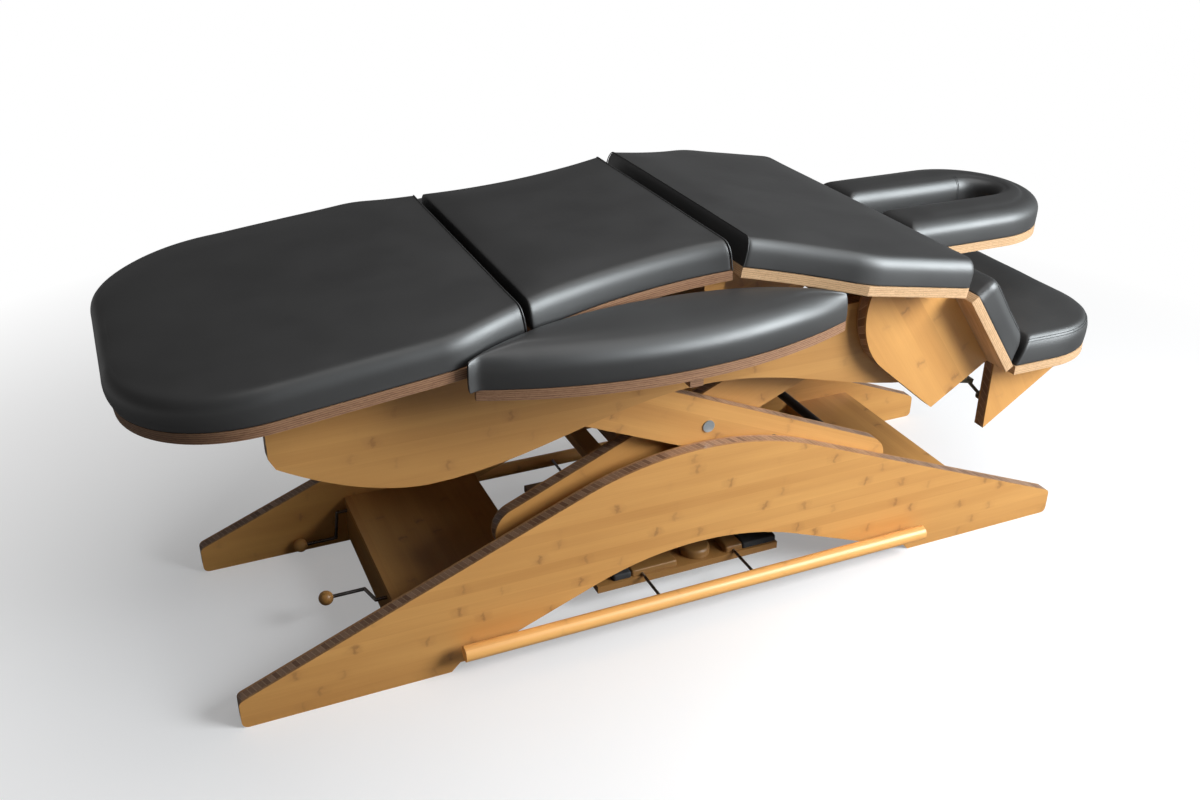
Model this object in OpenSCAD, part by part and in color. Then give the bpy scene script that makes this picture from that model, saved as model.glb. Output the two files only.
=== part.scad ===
// A height-adjustable treatment table in bamboo, plywood and padded leather.
// +X runs from the foot end to the head end, +Y to the far side, +Z up.
// The origin is on the floor under the middle of the table.

/* [Top sections] */
// Height of the ridge between the middle and thorax sections
ridge_z = 767; // [740:1:790]
// Place of the ridge along the table
ridge_x = 98.6; // [90:0.2:110]
// Slope of the leg and middle sections, in degrees
leg_tilt = 6.4; // [5:0.1:7]
// Slope of the thorax section, in degrees
thorax_tilt = 10; // [9:0.1:11]
// Length of the leg section along its slope
leg_l = 624; // [580:1:660]
// Length of the middle section along its slope
mid_l = 374; // [360:0.5:382]
// Length of the thorax section along its slope
thorax_l = 439; // [435:0.5:443]
// Gap between the leg and middle sections
section_gap = 12; // [12:1:18]
// Gap across the ridge, between the tops of the cushions
ridge_gap = 31; // [28:1:36]
// Width of the leg section
leg_w = 722; // [700:1:740]
// Width of the thorax section
thorax_w = 744; // [724:1:760]
// Radius of the two foot corners
leg_corner_r = 218; // [150:1:240]
// Radius of the two head corners of the thorax section
thorax_corner_r = 13; // [8:1:20]
// Thickness of every plywood board under a cushion
board_t = 18; // [15:1:20]
// Thickness of the main cushions
pad_t = 50; // [44:1:60]
// Height of the crown in the middle of a cushion
pad_crown = 5; // [2:1:8]
// How far the top edge of a cushion rounds in
pad_edge = 32; // [20:1:40]

/* [Waist] */
// Narrowest width of the table
waist_w = 544; // [536:1:560]
// Radius of the waist arcs
waist_r = 779; // [740:1:820]
// Place of the narrowest width along the table
waist_x = -75; // [-90:1:-60]

/* [Wings] */
// Height of the arm wings' top
wing_z = 687; // [684:1:692]
// Thickness of the wing cushions
wing_pad_t = 66; // [62:1:69]
// Gap between a wing and the top sections
wing_gap = 10; // [8:1:14]
// Radius of a wing's outer edge
wing_outer_r = 856; // [840:1:870]
// Furthest reach of a wing from the middle of the table
wing_reach = 437; // [430:1:445]
// Foot end of the wings
wing_foot_x = -420; // [-424:1:-400]
// Head end of the wings
wing_head_x = 255; // [240:1:262]

/* [Top frame] */
// Height of the beams' top edge
beam_top_z = 600; // [598:1:602]
// Thickness of the beams and base panels
plate_t = 28; // [26:1:29]
// Distance from the middle to the beams' and panels' inner faces
plate_inner = 234; // [232:1:236]
// Foot end of the beams
beam_foot_x = -727; // [-740:1:-715]
// Head end of the beams
beam_head_x = 541; // [538:1:542]
// Depth of the beams at their two low points
beam_depth = 194; // [185:1:200]
// Rise of the beams' lower edge in the middle
beam_arch = 87; // [75:1:90]
// Length of one wave of the beams' lower edge
beam_wave = 1036; // [1020:2:1050]
// Place of the top of the beams' arch
beam_arch_x = 45; // [35:1:55]

/* [Head section] */
// Place of the head pivot along the table
head_pivot_x = 498; // [496:1:500]
// Height of the head pivot
head_pivot_z = 580; // [578:1:582]
// Radius of the sector plates
sector_r = 145; // [135:1:150]
// Thickness of the sector plates
sector_t = 30; // [24:1:32]
// Slope of the shoulder board, in degrees
shoulder_tilt = 55.2; // [54:0.2:56]
// Length of the shoulder board down its slope
shoulder_l = 198; // [192:1:200]
// Width of the shoulder and forearm boards
rest_w = 702; // [690:1:720]
// Thickness of the shoulder cushion
shoulder_pad_t = 54; // [48:1:56]
// Height of the forearm board's underside
forearm_z = 430; // [428:1:432]
// Thickness of the forearm cushion
forearm_pad_t = 58; // [50:1:60]
// Head end of the forearm rest
forearm_head_x = 938; // [920:1:950]
// Radius of the forearm rest's head corners
forearm_corner_r = 160; // [120:1:180]
// Thickness of the gussets under the forearm rest
gusset_t = 26; // [22:1:28]

/* [Face cradle] */
// Height of the cradle board's underside
cradle_z = 619; // [618:1:624]
// Thickness of the cradle cushion
cradle_pad_t = 57; // [50:1:60]
// Thorax end of the cradle
cradle_foot_x = 538; // [537:1:542]
// Head end of the cradle
cradle_head_x = 938; // [920:1:950]
// Width of the cradle
cradle_w = 334; // [320:1:340]
// Width of the face slot
slot_w = 100; // [90:1:110]
// Head end of the face slot
slot_head_x = 865; // [850:1:870]

/* [Lift] */
// Width of the lift arms
arm_w = 99; // [90:1:100]
// Thickness of the lift arms
arm_t = 26; // [22:1:27]
// Distance between the two end pivots of an arm
arm_l = 790; // [786:1:792]
// Angle of the arms above level at rest, in degrees
arm_angle = 23; // [22.6:0.1:23.4]
// Place of the fixed pivots along the table
pivot_x = 434; // [432:1:436]
// Height of the fixed pivots on the base
pivot_z = 231; // [229:1:232]
// Diameter of the pivot shafts
shaft_d = 20; // [16:1:20]
// Diameter of the lift rollers
roller_d = 26; // [24:1:26]
// Diameter of the bar that the actuator pushes
torque_bar_d = 24; // [20:1:24]

/* [Base] */
// Place of the base panels' middle along the table
base_x = 50; // [46:1:54]
// Length of the base panels
base_l = 1760; // [1740:2:1780]
// Height of the base panels in the middle
base_top_z = 358; // [356:1:359]
// Radius of the base panels' crown
base_crown_r = 655; // [640:1:670]
// Slope of the base panels' top edge, in degrees
base_slope = 21.9; // [21.7:0.1:22.1]
// Height of the arch under the base panels
arch_top_z = 154; // [148:1:156]
// Radius of the arch
arch_r = 611; // [600:1:620]
// Slope of the arch's sides, in degrees
arch_slope = 20.9; // [20.7:0.1:21]
// Thickness of the base boards
base_board_t = 16; // [14:1:16]

/* [Treadle] */
// Length of the two foot bars
foot_bar_l = 1002; // [960:2:1010]
// Diameter of the foot bars
foot_bar_d = 30; // [26:1:30]
// Thickness of the treadle board
treadle_t = 15; // [12:1:15]

/* [Cranks] */
// Diameter of the crank rods
crank_d = 7; // [6:0.5:7]
// Diameter of the wooden balls
ball_d = 28; // [24:1:30]
// Radius from the crank's axis to its handle
crank_throw = 61; // [58:1:62]
// Diameter of the castor wheels
castor_d = 48; // [44:1:49]

/* [Hidden] */
$fn = 64;

// Running clearance of a pin in its bore, and of a soft or rubber face from its seat
fit_gap = 0.05;
rest_gap = 0.3;
// Overrun of a cutting shape past the face that it cuts
over = 2;
// A size beyond the whole table, for half-space cuts
far_reach = 900;

bamboo = "#d2a264";
plywood = "#b98a60";
pale_ply = "#d8b48a";
hide = "#33373a";
steel = "#6c6f72";
zinc = "#b9bdc0";
black_rubber = "#1d1d1e";
dowel = "#d9b07a";

// Places along the slope of the leg and middle sections, measured from the ridge
thorax_back = 4;
mid_head = -thorax_back - ridge_gap;
mid_foot = mid_head - mid_l;
leg_head = mid_foot - section_gap;
leg_foot = leg_head - leg_l;
// Places along the slope of the thorax section
thorax_foot = -thorax_back;
thorax_head = thorax_foot + thorax_l;
// Depth of a section from its top to its board's underside
section_t = pad_t + board_t;

// The waist arcs, and their centres in each section's own slope
waist_y = waist_w / 2 + waist_r;
leg_waist = (waist_x - ridge_x) / cos(leg_tilt);
thorax_waist = (waist_x - ridge_x) / cos(thorax_tilt);
wing_inner_r = waist_r - wing_gap;
wing_outer_shift = 13;
wing_crown = 12;
wing_outer_x = waist_x - wing_outer_shift;
wing_outer_y = wing_reach - wing_outer_r;

// Heights of a cushion's rings as shares of its thickness, and their insets as shares of pad_edge
level_shares = [0, 0.06, 0.25, 0.6, 0.8, 0.92, 0.98, 1];
inset_shares = [0.12, 0.05, 0, 0.02, 0.12, 0.34, 0.62, 1];

// Turn of the lift arms down and up from rest, in degrees
lift_drop_angle = 9;
lift_rise_angle = 18;

// Hinges under the leg and middle sections
section_pin_d = 8;
section_knuckle_r = 7;
section_pin_drop = 8;
section_pin_inset = 12;
section_hinge_y = 150;
section_hinge_w = 12;
section_hinge_play = 1;
lug_leaf_t = 3;
lug_leaf_l = 40;
lug_w = 12;

// Rails across the top frame
rail_w = 30;
rail_h = 60;
foot_rail_inset = 12;
foot_rail_drop = 80;
foot_rail_x = beam_foot_x + foot_rail_inset;
foot_rail_z = beam_top_z - foot_rail_drop;
hinge_rail_w = 68;
hinge_rail_h = 34;
mid_rail_back = 68.6;
mid_rail_x = ridge_x - mid_rail_back;
mid_rail_w = 40;
mid_rail_h = 84;
head_rail_back = 6;
head_rail_drop = 110;
head_rail_x = head_pivot_x - head_rail_back;
head_rail_z = head_pivot_z - head_rail_drop;
head_rail_h = 70;
head_shaft_d = 20;
head_shaft_end = 284;
stop_l = 27;
stop_w = 20;
beam_round_r = 43;
beam_corner_r = 20;
beam_tail_z = 490;
roller_play = 1;
groove_d = roller_d + roller_play;
groove_depth = 12;
beam_groove_z = pivot_z + arm_l * sin(arm_angle);
low_travel_x = arm_l * (cos(arm_angle - lift_drop_angle) - cos(arm_angle));
high_travel_x = arm_l * (cos(arm_angle) - cos(arm_angle + lift_rise_angle));

// Lift arms
arm_play = 3;
outer_arm_y = plate_inner - arm_play - arm_t;
inner_arm_y = outer_arm_y - arm_play - arm_t;
bolt_d = 12;
bolt_head_r = 12;
bolt_head_t = 2.2;
nut_r = 10;
nut_t = 8;
axle_d = 12;
roller_start = 2;
roller_t = 8;
torque_at = 240;
blind = 10;
inner_rail_at = 595;

// Actuator between the base and the torque bar
clevis_x = 280;
clevis_z = 65;
clevis_pin_d = 14;
eye_play = 3;
tongue_t = 24;
housing_r = 30;
housing_foot = 20;
housing_l = 205;
piston_r = 15;
piston_foot = 100;
piston_bore_foot = 60;
rod_eye_wall = 7;
motor_r = 28;
motor_offset = 62;
motor_foot = 45;
motor_head = 150;
torque_x = pivot_x - torque_at * cos(arm_angle);
torque_z = pivot_z + torque_at * sin(arm_angle);
actuator_l = norm([torque_x - clevis_x, torque_z - clevis_z]);
actuator_tilt = atan2(torque_x - clevis_x, torque_z - clevis_z);

// Sector plates, shoulder board and forearm rest
side_play = 2;
sector_y = plate_inner + plate_t + side_play;
sector_tip_x = 35;
sector_drop = 219;
shoulder_ahead = 44;
shoulder_rise = 23;
shoulder_x = head_pivot_x + shoulder_ahead;
shoulder_z = head_pivot_z + shoulder_rise;
notch_w = 352;
notch_l = 60;
notch_side = 8;
shoulder_corner_r = 14;
shoulder_edge = 20;
cradle_edge = 26;
shoulder_bevel = 36;
shoulder_end_x = shoulder_x + shoulder_l * cos(shoulder_tilt);
shoulder_end_z = shoulder_z - shoulder_l * sin(shoulder_tilt);
forearm_gap = 21;
forearm_x = shoulder_end_x + forearm_gap;
forearm_lean = 24;
forearm_pin_d = 4;
forearm_knuckle_r = 4.5;
forearm_pin_back = 5;
forearm_pin_rise = 6;
forearm_pin_x = forearm_x - forearm_pin_back;
forearm_pin_z = forearm_z + forearm_pin_rise;
forearm_hinge_ys = [70, 230];
forearm_hinge_w = 30;
forearm_hinge_play = 1;
gusset_inset = 1;
gusset_y = sector_y + side_play;
gusset_h = 147;
gusset_l = 215;
lever_ahead = 29;
lever_drop = 102;
lever_inset = 26;
lever_x = forearm_x + lever_ahead;
lever_z = forearm_z - lever_drop;
lever_y = gusset_y - lever_inset;
lever_rise = 48;
lever_reach = 46;
lever_paddle_lean = 12;
lever_pin_d = 8;
lever_hub_r = 9;
lever_rod_d = 7;
paddle_l = 54;
paddle_w = 30;
paddle_t = 9;

// Face cradle and its sliding rods
rod_d = 12;
rod_y = 80;
rod_drop = 13;
rod_z = cradle_z - rod_drop;
rod_foot_x = 395;
rod_head_x = 556;
cradle_hinge_x = 558;
cradle_hinge_drop = 11;
cradle_hinge_z = cradle_z - cradle_hinge_drop;
cradle_bar_r = 7;
cradle_bar_half = 100;
socket_foot_x = 410;
socket_head_x = 500;
socket_w = 40;
ear_w = 18;
ear_y = 53;

// Wings' hinges
wing_board_z = wing_z - wing_pad_t - board_t;
wing_pin_gap = 10;
wing_pin_drop = 9;
wing_pin_y = plate_inner + plate_t + wing_pin_gap;
wing_pin_z = wing_board_z - wing_pin_drop;
wing_pin_d = 6;
wing_knuckle_r = 8;
wing_knuckle_play = 1;
wing_hinge_xs = [-230, 60];
wing_arm_w = 18;
wing_arm_reach = 360;
wing_brace_x = -80;
wing_brace_w = 24;
wing_brace_inset = 9;
wing_brace_foot = 285;

// Base boards
foot_box_x = -531;
foot_box_end_x = -250;
head_box_x = 552;
head_box_end_x = 720;
box_top_z = 109;
box_floor_z = 12;
rib_x = -372;
rib_h = 31;
foot_clear = 506;
chamfer = 17;
toe_clear = 471;
panel_corner_r = 12;
stretcher_w = 40;
stretcher_h = 55;
actuator_stretcher_x = 330;
actuator_stretcher_z = 100;
treadle_stretcher_gap = 6;
treadle_stretcher_z = arch_top_z + treadle_stretcher_gap;
bracket_t = 6;
bracket_play = 2;

// Treadle
treadle_x = 60;
treadle_pin_z = 80;
treadle_pin_d = 10;
treadle_z = 45;
treadle_foot_x = -140;
treadle_head_x = 263;
treadle_half = 205;
foot_bar_x = 62;
foot_bar_gap = 29.5;
foot_bar_y = plate_inner + plate_t + foot_bar_gap;
foot_bar_z = 58;
treadle_rod_d = 6;
treadle_rod_xs = [-43, 162];
treadle_rod_foot = 120;
treadle_rod_sink = 9;
hanger_y = 68;
hanger_w = 24;
treadle_lug_w = 20;
pad_row_y = 135;
pad_row_w = 65;
pad_row_h = 14;
foot_pads = [[-105, 40], [184, 79]];
foot_boards = [[-65, 100], [145, 39]];
disc_x = 90;
disc_r = 31;
disc_h = 20;

// Cranks
crank_z = 86;
crank_far_y = 217;
crank_near_y = -110;
crank_near_turn = 78;
crank_bend_x = -552;
crank_handle_l = 74;
crank_rod_end_x = -354;
crank_lean = 8;
crank_ball_sink = 6;
castor_x = -420;
castor_t = 12;
castor_pin_d = 8;
castor_plate_t = 4;
castor_plate_w = 16;
castor_gap = 1;

// Half-width of a waisted section at x, from its outline's half-width and the arc's centre
function waisted(x, half, cx, r, cy) = min(half, cy - sqrt(r * r - (x - cx) * (x - cx)));

// A column of an outline symmetric about the middle
function even_pair(x, h) = [[x, -h], [x, h]];

// Columns drawn in by an inset: x towards the middle of the span, each column towards its own middle
function drawn_in(cols, inset, half) =
    let (x0 = cols[0][0][0], x1 = cols[len(cols) - 1][0][0])
    let (xm = (x0 + x1) / 2, k = 1 - 2 * inset / (x1 - x0))
    [for (c = cols)
        let (m = (c[0][1] + c[1][1]) / 2, h = (c[1][1] - c[0][1]) / 2 * (1 - inset / half))
        [[xm + (c[0][0] - xm) * k, m - h], [xm + (c[1][0] - xm) * k, m + h]]];

// A cushion from rings of columns: near points, then far points back, and a crowned middle row
module pad_solid(rings, t, crown, lean = [0, 0]) {
    n = len(rings[0]);
    last = len(rings) - 1;
    x0 = rings[0][0][0][0];
    x1 = rings[0][n - 1][0][0];
    function level(k) = level_shares[k] * (t - crown);
    function lean_of(x) = lean == [0, 0] ? 0 : lean[0] + (lean[1] - lean[0]) * (x - x0) / (x1 - x0);
    function leaned(p, z) = [p[0] + z * lean_of(p[0]), p[1], z];
    ring_points = [for (k = [0:last]) each concat(
        [for (j = [0:n - 1]) leaned(rings[k][j][0], level(k))],
        [for (j = [n - 1:-1:0]) leaned(rings[k][j][1], level(k))])];
    crown_points = [for (j = [1:n - 2]) leaned((rings[last][j][0] + rings[last][j][1]) / 2, t)];
    function near(k, j) = k * 2 * n + j;
    function away(k, j) = k * 2 * n + 2 * n - 1 - j;
    function mid(j) = (last + 1) * 2 * n + j - 1;
    walls = [for (k = [0:last - 1], i = [0:2 * n - 1])
        let (a = k * 2 * n + i, b = k * 2 * n + (i + 1) % (2 * n), c = a + 2 * n, d = b + 2 * n)
        each [[a, c, d], [a, d, b]]];
    floor_faces = [for (j = [0:n - 2]) each
        [[near(0, j), near(0, j + 1), away(0, j + 1)], [near(0, j), away(0, j + 1), away(0, j)]]];
    top_faces = [for (j = [1:n - 3]) each [
        [near(last, j), mid(j), mid(j + 1)], [near(last, j), mid(j + 1), near(last, j + 1)],
        [mid(j), away(last, j), away(last, j + 1)], [mid(j), away(last, j + 1), mid(j + 1)]]];
    e = n - 1;
    end_faces = [
        [near(last, 0), mid(1), near(last, 1)], [near(last, 0), away(last, 0), mid(1)],
        [mid(1), away(last, 0), away(last, 1)],
        [near(last, e - 1), mid(e - 1), near(last, e)], [near(last, e), mid(e - 1), away(last, e)],
        [mid(e - 1), away(last, e - 1), away(last, e)]];
    polyhedron(concat(ring_points, crown_points), concat(walls, floor_faces, top_faces, end_faces));
}

// A cushion over columns that are symmetric or run along x
module column_pad(cols, half, t, crown, lean = [0, 0]) {
    pad_solid([for (s = inset_shares) drawn_in(cols, s * pad_edge, half)], t, crown, lean);
}

// An outline drawn in x and z, standing upright from y0 over a thickness
module upright(y0, t) {
    translate([0, y0 + t, 0]) rotate([90, 0, 0]) linear_extrude(t) children();
}

// An upright plate on the near (-1) or far (1) side, from its inner face outwards
module side_plate(side, inner, t) {
    upright(side > 0 ? inner : -inner - t, t) children();
}

// A round bar along y from a to b
module bar_y(a, b, r) {
    translate([0, b, 0]) rotate([90, 0, 0]) cylinder(h = b - a, r = r);
}

// A round bar between two points, with a slightly fuller ball at each end
module rod_between(p, q, r) {
    d = q - p;
    translate(p) rotate([0, acos(d[2] / norm(d)), atan2(d[1], d[0])]) cylinder(h = norm(d), r = r);
    translate(p) sphere(r = r + fit_gap);
    translate(q) sphere(r = r + fit_gap);
}

module on_leg_slope() {
    translate([ridge_x, 0, ridge_z]) rotate([0, -leg_tilt, 0]) children();
}

module on_thorax_slope() {
    translate([ridge_x, 0, ridge_z]) rotate([0, thorax_tilt, 0]) children();
}

module on_shoulder_slope() {
    translate([shoulder_x, 0, shoulder_z]) rotate([0, shoulder_tilt, 0]) children();
}

// Straight-sided outline with rounded corners of radius r0 at its foot end and r1 at its head end
module rounded_outline(x0, x1, half, r0, r1) {
    translate([x0 + r0, -half]) square([x1 - x0 - r0 - r1, 2 * half]);
    rounded_end(x0 + r0, -1, half, r0);
    rounded_end(x1 - r1, 1, half, r1);
}

// The part of a rounded outline past x, towards the foot end (-1) or the head end (1)
module rounded_end(x, way, half, r) {
    if (r > 0) intersection() {
        translate([way > 0 ? x : x - r, -half]) square([r, 2 * half]);
        union() {
            translate([x - r, r - half]) square([2 * r, 2 * (half - r)]);
            for (s = [-1, 1]) translate([x, s * (half - r)]) circle(r = r);
        }
    }
}

module waist_cuts(cx) {
    for (s = [-1, 1]) translate([cx, s * waist_y]) circle(r = waist_r, $fn = 180);
}

// Everything above the underside of the leg and middle boards, less a rest gap
module above_leg_boards() {
    on_leg_slope() translate([-2 * far_reach, -far_reach, -section_t - rest_gap])
        cube([3 * far_reach, 2 * far_reach, far_reach]);
}

// Base panel outline, in x and z, about the panels' middle
module base_outline() {
    half = base_l / 2;
    cut = base_crown_r * sin(base_slope);
    chord = base_top_z - base_crown_r * (1 - cos(base_slope));
    end_z = chord - tan(base_slope) * (half - cut);
    r = panel_corner_r;
    tip_x = half - r;
    tip_z = end_z + r * tan(base_slope) - r / cos(base_slope);
    right = [[tip_x, 0], [half, r], [half, tip_z], [tip_x + r * sin(base_slope), tip_z + r * cos(base_slope)],
        [cut, chord]];
    left = [for (i = [len(right) - 1:-1:0]) [-right[i][0], right[i][1]]];
    translate([base_x, 0]) difference() {
        union() {
            polygon(concat(right, left));
            for (s = [-1, 1]) {
                translate([s * tip_x, r]) circle(r = r);
                translate([s * tip_x, tip_z]) circle(r = r - fit_gap);
            }
            intersection() {
                translate([0, base_top_z - base_crown_r]) circle(r = base_crown_r - fit_gap, $fn = 180);
                translate([-cut, chord - over]) square([2 * cut, base_top_z]);
            }
        }
        base_arch();
    }
}

// The arch under a base panel between its two feet
module base_arch() {
    arch_cut = arch_r * sin(arch_slope);
    arch_chord = arch_top_z - arch_r * (1 - cos(arch_slope));
    right = [[foot_clear + over, -over], [foot_clear - chamfer, chamfer], [toe_clear, chamfer],
        [arch_cut, arch_chord]];
    left = [for (i = [len(right) - 1:-1:0]) [-right[i][0], right[i][1]]];
    polygon(concat(right, left));
    intersection() {
        translate([0, arch_top_z - arch_r]) circle(r = arch_r - fit_gap, $fn = 180);
        translate([-arch_cut, arch_chord - over]) square([2 * arch_cut, arch_top_z]);
    }
}

// Slot outline for a roller that travels between the low and high places of the lift
module groove_outline(z) {
    rest_x = pivot_x - arm_l * cos(arm_angle);
    translate([rest_x - low_travel_x - over, z - groove_d / 2])
        square([low_travel_x + high_travel_x + 2 * over, groove_d]);
    for (x = [rest_x - low_travel_x - over, rest_x + high_travel_x + over])
        translate([x, z]) circle(d = groove_d);
}

module base_panel(side) {
    color(bamboo) difference() {
        side_plate(side, plate_inner, plate_t) base_outline();
        side_plate(side, plate_inner - over, groove_depth + over) groove_outline(pivot_z);
        side_plate(side, plate_inner - over, plate_t - blind + over)
            translate([pivot_x, pivot_z]) circle(d = shaft_d);
    }
}
module base_panel_near() { base_panel(-1); }
module base_panel_far() { base_panel(1); }

// The shelf boards of the foot box and the head box
module box_tops() {
    color(bamboo) for (span = [[foot_box_x, foot_box_end_x], [head_box_x, head_box_end_x]])
        translate([span[0], -plate_inner, box_top_z - base_board_t])
            cube([span[1] - span[0], 2 * plate_inner, base_board_t]);
}

// Front and rib of the foot box, which carry the crank rods, and the head box's front
module box_boards() {
    h = box_top_z - base_board_t - box_floor_z;
    color(bamboo) {
        difference() {
            translate([foot_box_x, -plate_inner, box_floor_z]) cube([base_board_t, 2 * plate_inner, h]);
            crank_bores();
        }
        difference() {
            translate([rib_x, -plate_inner, box_top_z - base_board_t - rib_h])
                cube([base_board_t, 2 * plate_inner, rib_h]);
            crank_bores();
        }
        translate([head_box_end_x - base_board_t, -plate_inner, box_floor_z])
            cube([base_board_t, 2 * plate_inner, h]);
    }
}

module crank_bores() {
    for (y = [crank_near_y, crank_far_y]) translate([foot_box_x - over, y, crank_z]) rotate([0, 90, 0])
        cylinder(h = crank_rod_end_x - foot_box_x + 2 * over, r = crank_d / 2 + fit_gap);
}

module base_stretchers() {
    color(bamboo) {
        translate([actuator_stretcher_x, -plate_inner, actuator_stretcher_z])
            cube([stretcher_w, 2 * plate_inner, stretcher_h]);
        translate([treadle_x - stretcher_w / 2, -plate_inner, treadle_stretcher_z])
            cube([stretcher_w, 2 * plate_inner, stretcher_w]);
    }
}

// Steel clevis for the actuator and two hangers for the treadle, each with its pin
module base_brackets() {
    ear_y = tongue_t / 2 + bracket_play;
    color(steel) {
        for (s = [-1, 1]) side_plate(s, ear_y, bracket_t) {
            translate([clevis_x, clevis_z]) circle(d = 2 * clevis_pin_d);
            translate([clevis_x, clevis_z - clevis_pin_d])
                square([actuator_stretcher_x - clevis_x, 2 * clevis_pin_d]);
        }
        translate([clevis_x, 0, clevis_z]) bar_y(-ear_y - bracket_t, ear_y + bracket_t, clevis_pin_d / 2);
        translate([actuator_stretcher_x - bracket_t, -ear_y - 2 * bracket_t, clevis_z - clevis_pin_d])
            cube([bracket_t, 2 * ear_y + 4 * bracket_t, actuator_stretcher_z + stretcher_h - clevis_z]);
        for (s = [-1, 1]) {
            side_plate(s, hanger_y, bracket_t) {
                translate([treadle_x, treadle_pin_z]) circle(d = hanger_w);
                translate([treadle_x - hanger_w / 2, treadle_pin_z])
                    square([hanger_w, treadle_stretcher_z - treadle_pin_z]);
            }
            side_plate(s, hanger_y - bracket_play - treadle_lug_w, treadle_lug_w + bracket_play + bracket_t)
                translate([treadle_x, treadle_pin_z]) circle(d = treadle_pin_d);
        }
    }
}

module lower_pivot_shaft() {
    end = plate_inner + plate_t - blind;
    color(steel) translate([pivot_x, 0, pivot_z]) bar_y(-end, end, shaft_d / 2);
}

// Lift arm outline from its fixed pivot, with its bores as [place along the arm, diameter]
module arm_outline(bores) {
    difference() {
        union() {
            translate([0, -arm_w / 2]) square([arm_l, arm_w]);
            for (x = [0, arm_l]) translate([x, 0]) circle(d = arm_w);
        }
        for (b = bores) translate([b[0], 0]) circle(d = b[1]);
    }
}

module outer_arm(side) {
    color(bamboo) side_plate(side, outer_arm_y, arm_t) translate([pivot_x, pivot_z]) rotate(180 - arm_angle)
        arm_outline([[0, shaft_d + 2 * fit_gap], [torque_at, torque_bar_d], [arm_l / 2, bolt_d],
            [arm_l, axle_d]]);
}
module arm_outer_near() { outer_arm(-1); }
module arm_outer_far() { outer_arm(1); }

module inner_arm(side) {
    color(bamboo) side_plate(side, inner_arm_y, arm_t)
        translate([pivot_x, beam_groove_z]) rotate(180 + arm_angle)
        arm_outline([[0, shaft_d + 2 * fit_gap], [arm_l / 2, bolt_d + 2 * fit_gap], [arm_l, axle_d]]);
}
module arm_inner_near() { inner_arm(-1); }
module arm_inner_far() { inner_arm(1); }

module torque_bar() {
    end = outer_arm_y + arm_t;
    color(steel) translate([torque_x, 0, torque_z]) bar_y(-end, end, torque_bar_d / 2);
}

// A roller in its groove, on an axle through the arm whose inner face is at y
module roller_pair(x, z, y) {
    color(black_rubber) for (s = [-1, 1]) {
        side_plate(s, y, plate_inner + roller_start - y) translate([x, z]) circle(d = axle_d);
        side_plate(s, plate_inner + roller_start, roller_t) translate([x, z]) circle(d = roller_d);
    }
}
module upper_rollers() {
    roller_pair(pivot_x - arm_l * cos(arm_angle), beam_groove_z, outer_arm_y);
}
module lower_rollers() {
    roller_pair(pivot_x - arm_l * cos(arm_angle), pivot_z, inner_arm_y);
}

module centre_bolts() {
    x = pivot_x - arm_l / 2 * cos(arm_angle);
    z = pivot_z + arm_l / 2 * sin(arm_angle);
    color(zinc) for (s = [-1, 1]) {
        side_plate(s, inner_arm_y - nut_t, outer_arm_y + arm_t - inner_arm_y + nut_t)
            translate([x, z]) circle(d = bolt_d);
        side_plate(s, outer_arm_y + arm_t, bolt_head_t) translate([x, z]) circle(r = bolt_head_r);
        side_plate(s, inner_arm_y - nut_t, nut_t - rest_gap) translate([x, z]) circle(r = nut_r, $fn = 6);
    }
}

module inner_cross_rail() {
    color(bamboo) translate([pivot_x, 0, beam_groove_z]) rotate([0, -(180 + arm_angle), 0])
        translate([inner_rail_at - rail_w / 2, -inner_arm_y, -rail_h / 2])
            cube([rail_w, 2 * inner_arm_y, rail_h]);
}

// The actuator's own frame: its foot pin at the origin and its rod along +Z
module on_actuator() {
    translate([clevis_x, 0, clevis_z]) rotate([0, actuator_tilt, 0]) children();
}

module actuator_housing() {
    color("#3a3d40") on_actuator() difference() {
        union() {
            bar_y(-tongue_t / 2, tongue_t / 2, clevis_pin_d);
            translate([-clevis_pin_d, -tongue_t / 2, 0]) cube([2 * clevis_pin_d, tongue_t, housing_foot]);
            translate([0, 0, housing_foot]) cylinder(h = housing_l - housing_foot, r = housing_r);
            translate([-motor_offset, -motor_r / 2, motor_foot]) cube([motor_offset, motor_r, housing_r]);
            translate([-motor_offset, 0, motor_foot]) cylinder(h = motor_head - motor_foot, r = motor_r);
        }
        bar_y(-tongue_t, tongue_t, clevis_pin_d / 2 + fit_gap);
        translate([0, 0, piston_bore_foot]) cylinder(h = housing_l, r = piston_r + fit_gap);
    }
}

module actuator_rod() {
    eye_r = torque_bar_d / 2 + eye_play;
    color(zinc) on_actuator() difference() {
        union() {
            translate([0, 0, piston_foot]) cylinder(h = actuator_l - piston_foot - eye_r, r = piston_r);
            translate([0, 0, actuator_l]) bar_y(-tongue_t / 2, tongue_t / 2, eye_r + rod_eye_wall);
        }
        translate([0, 0, actuator_l]) bar_y(-tongue_t, tongue_t, eye_r);
    }
}

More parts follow.
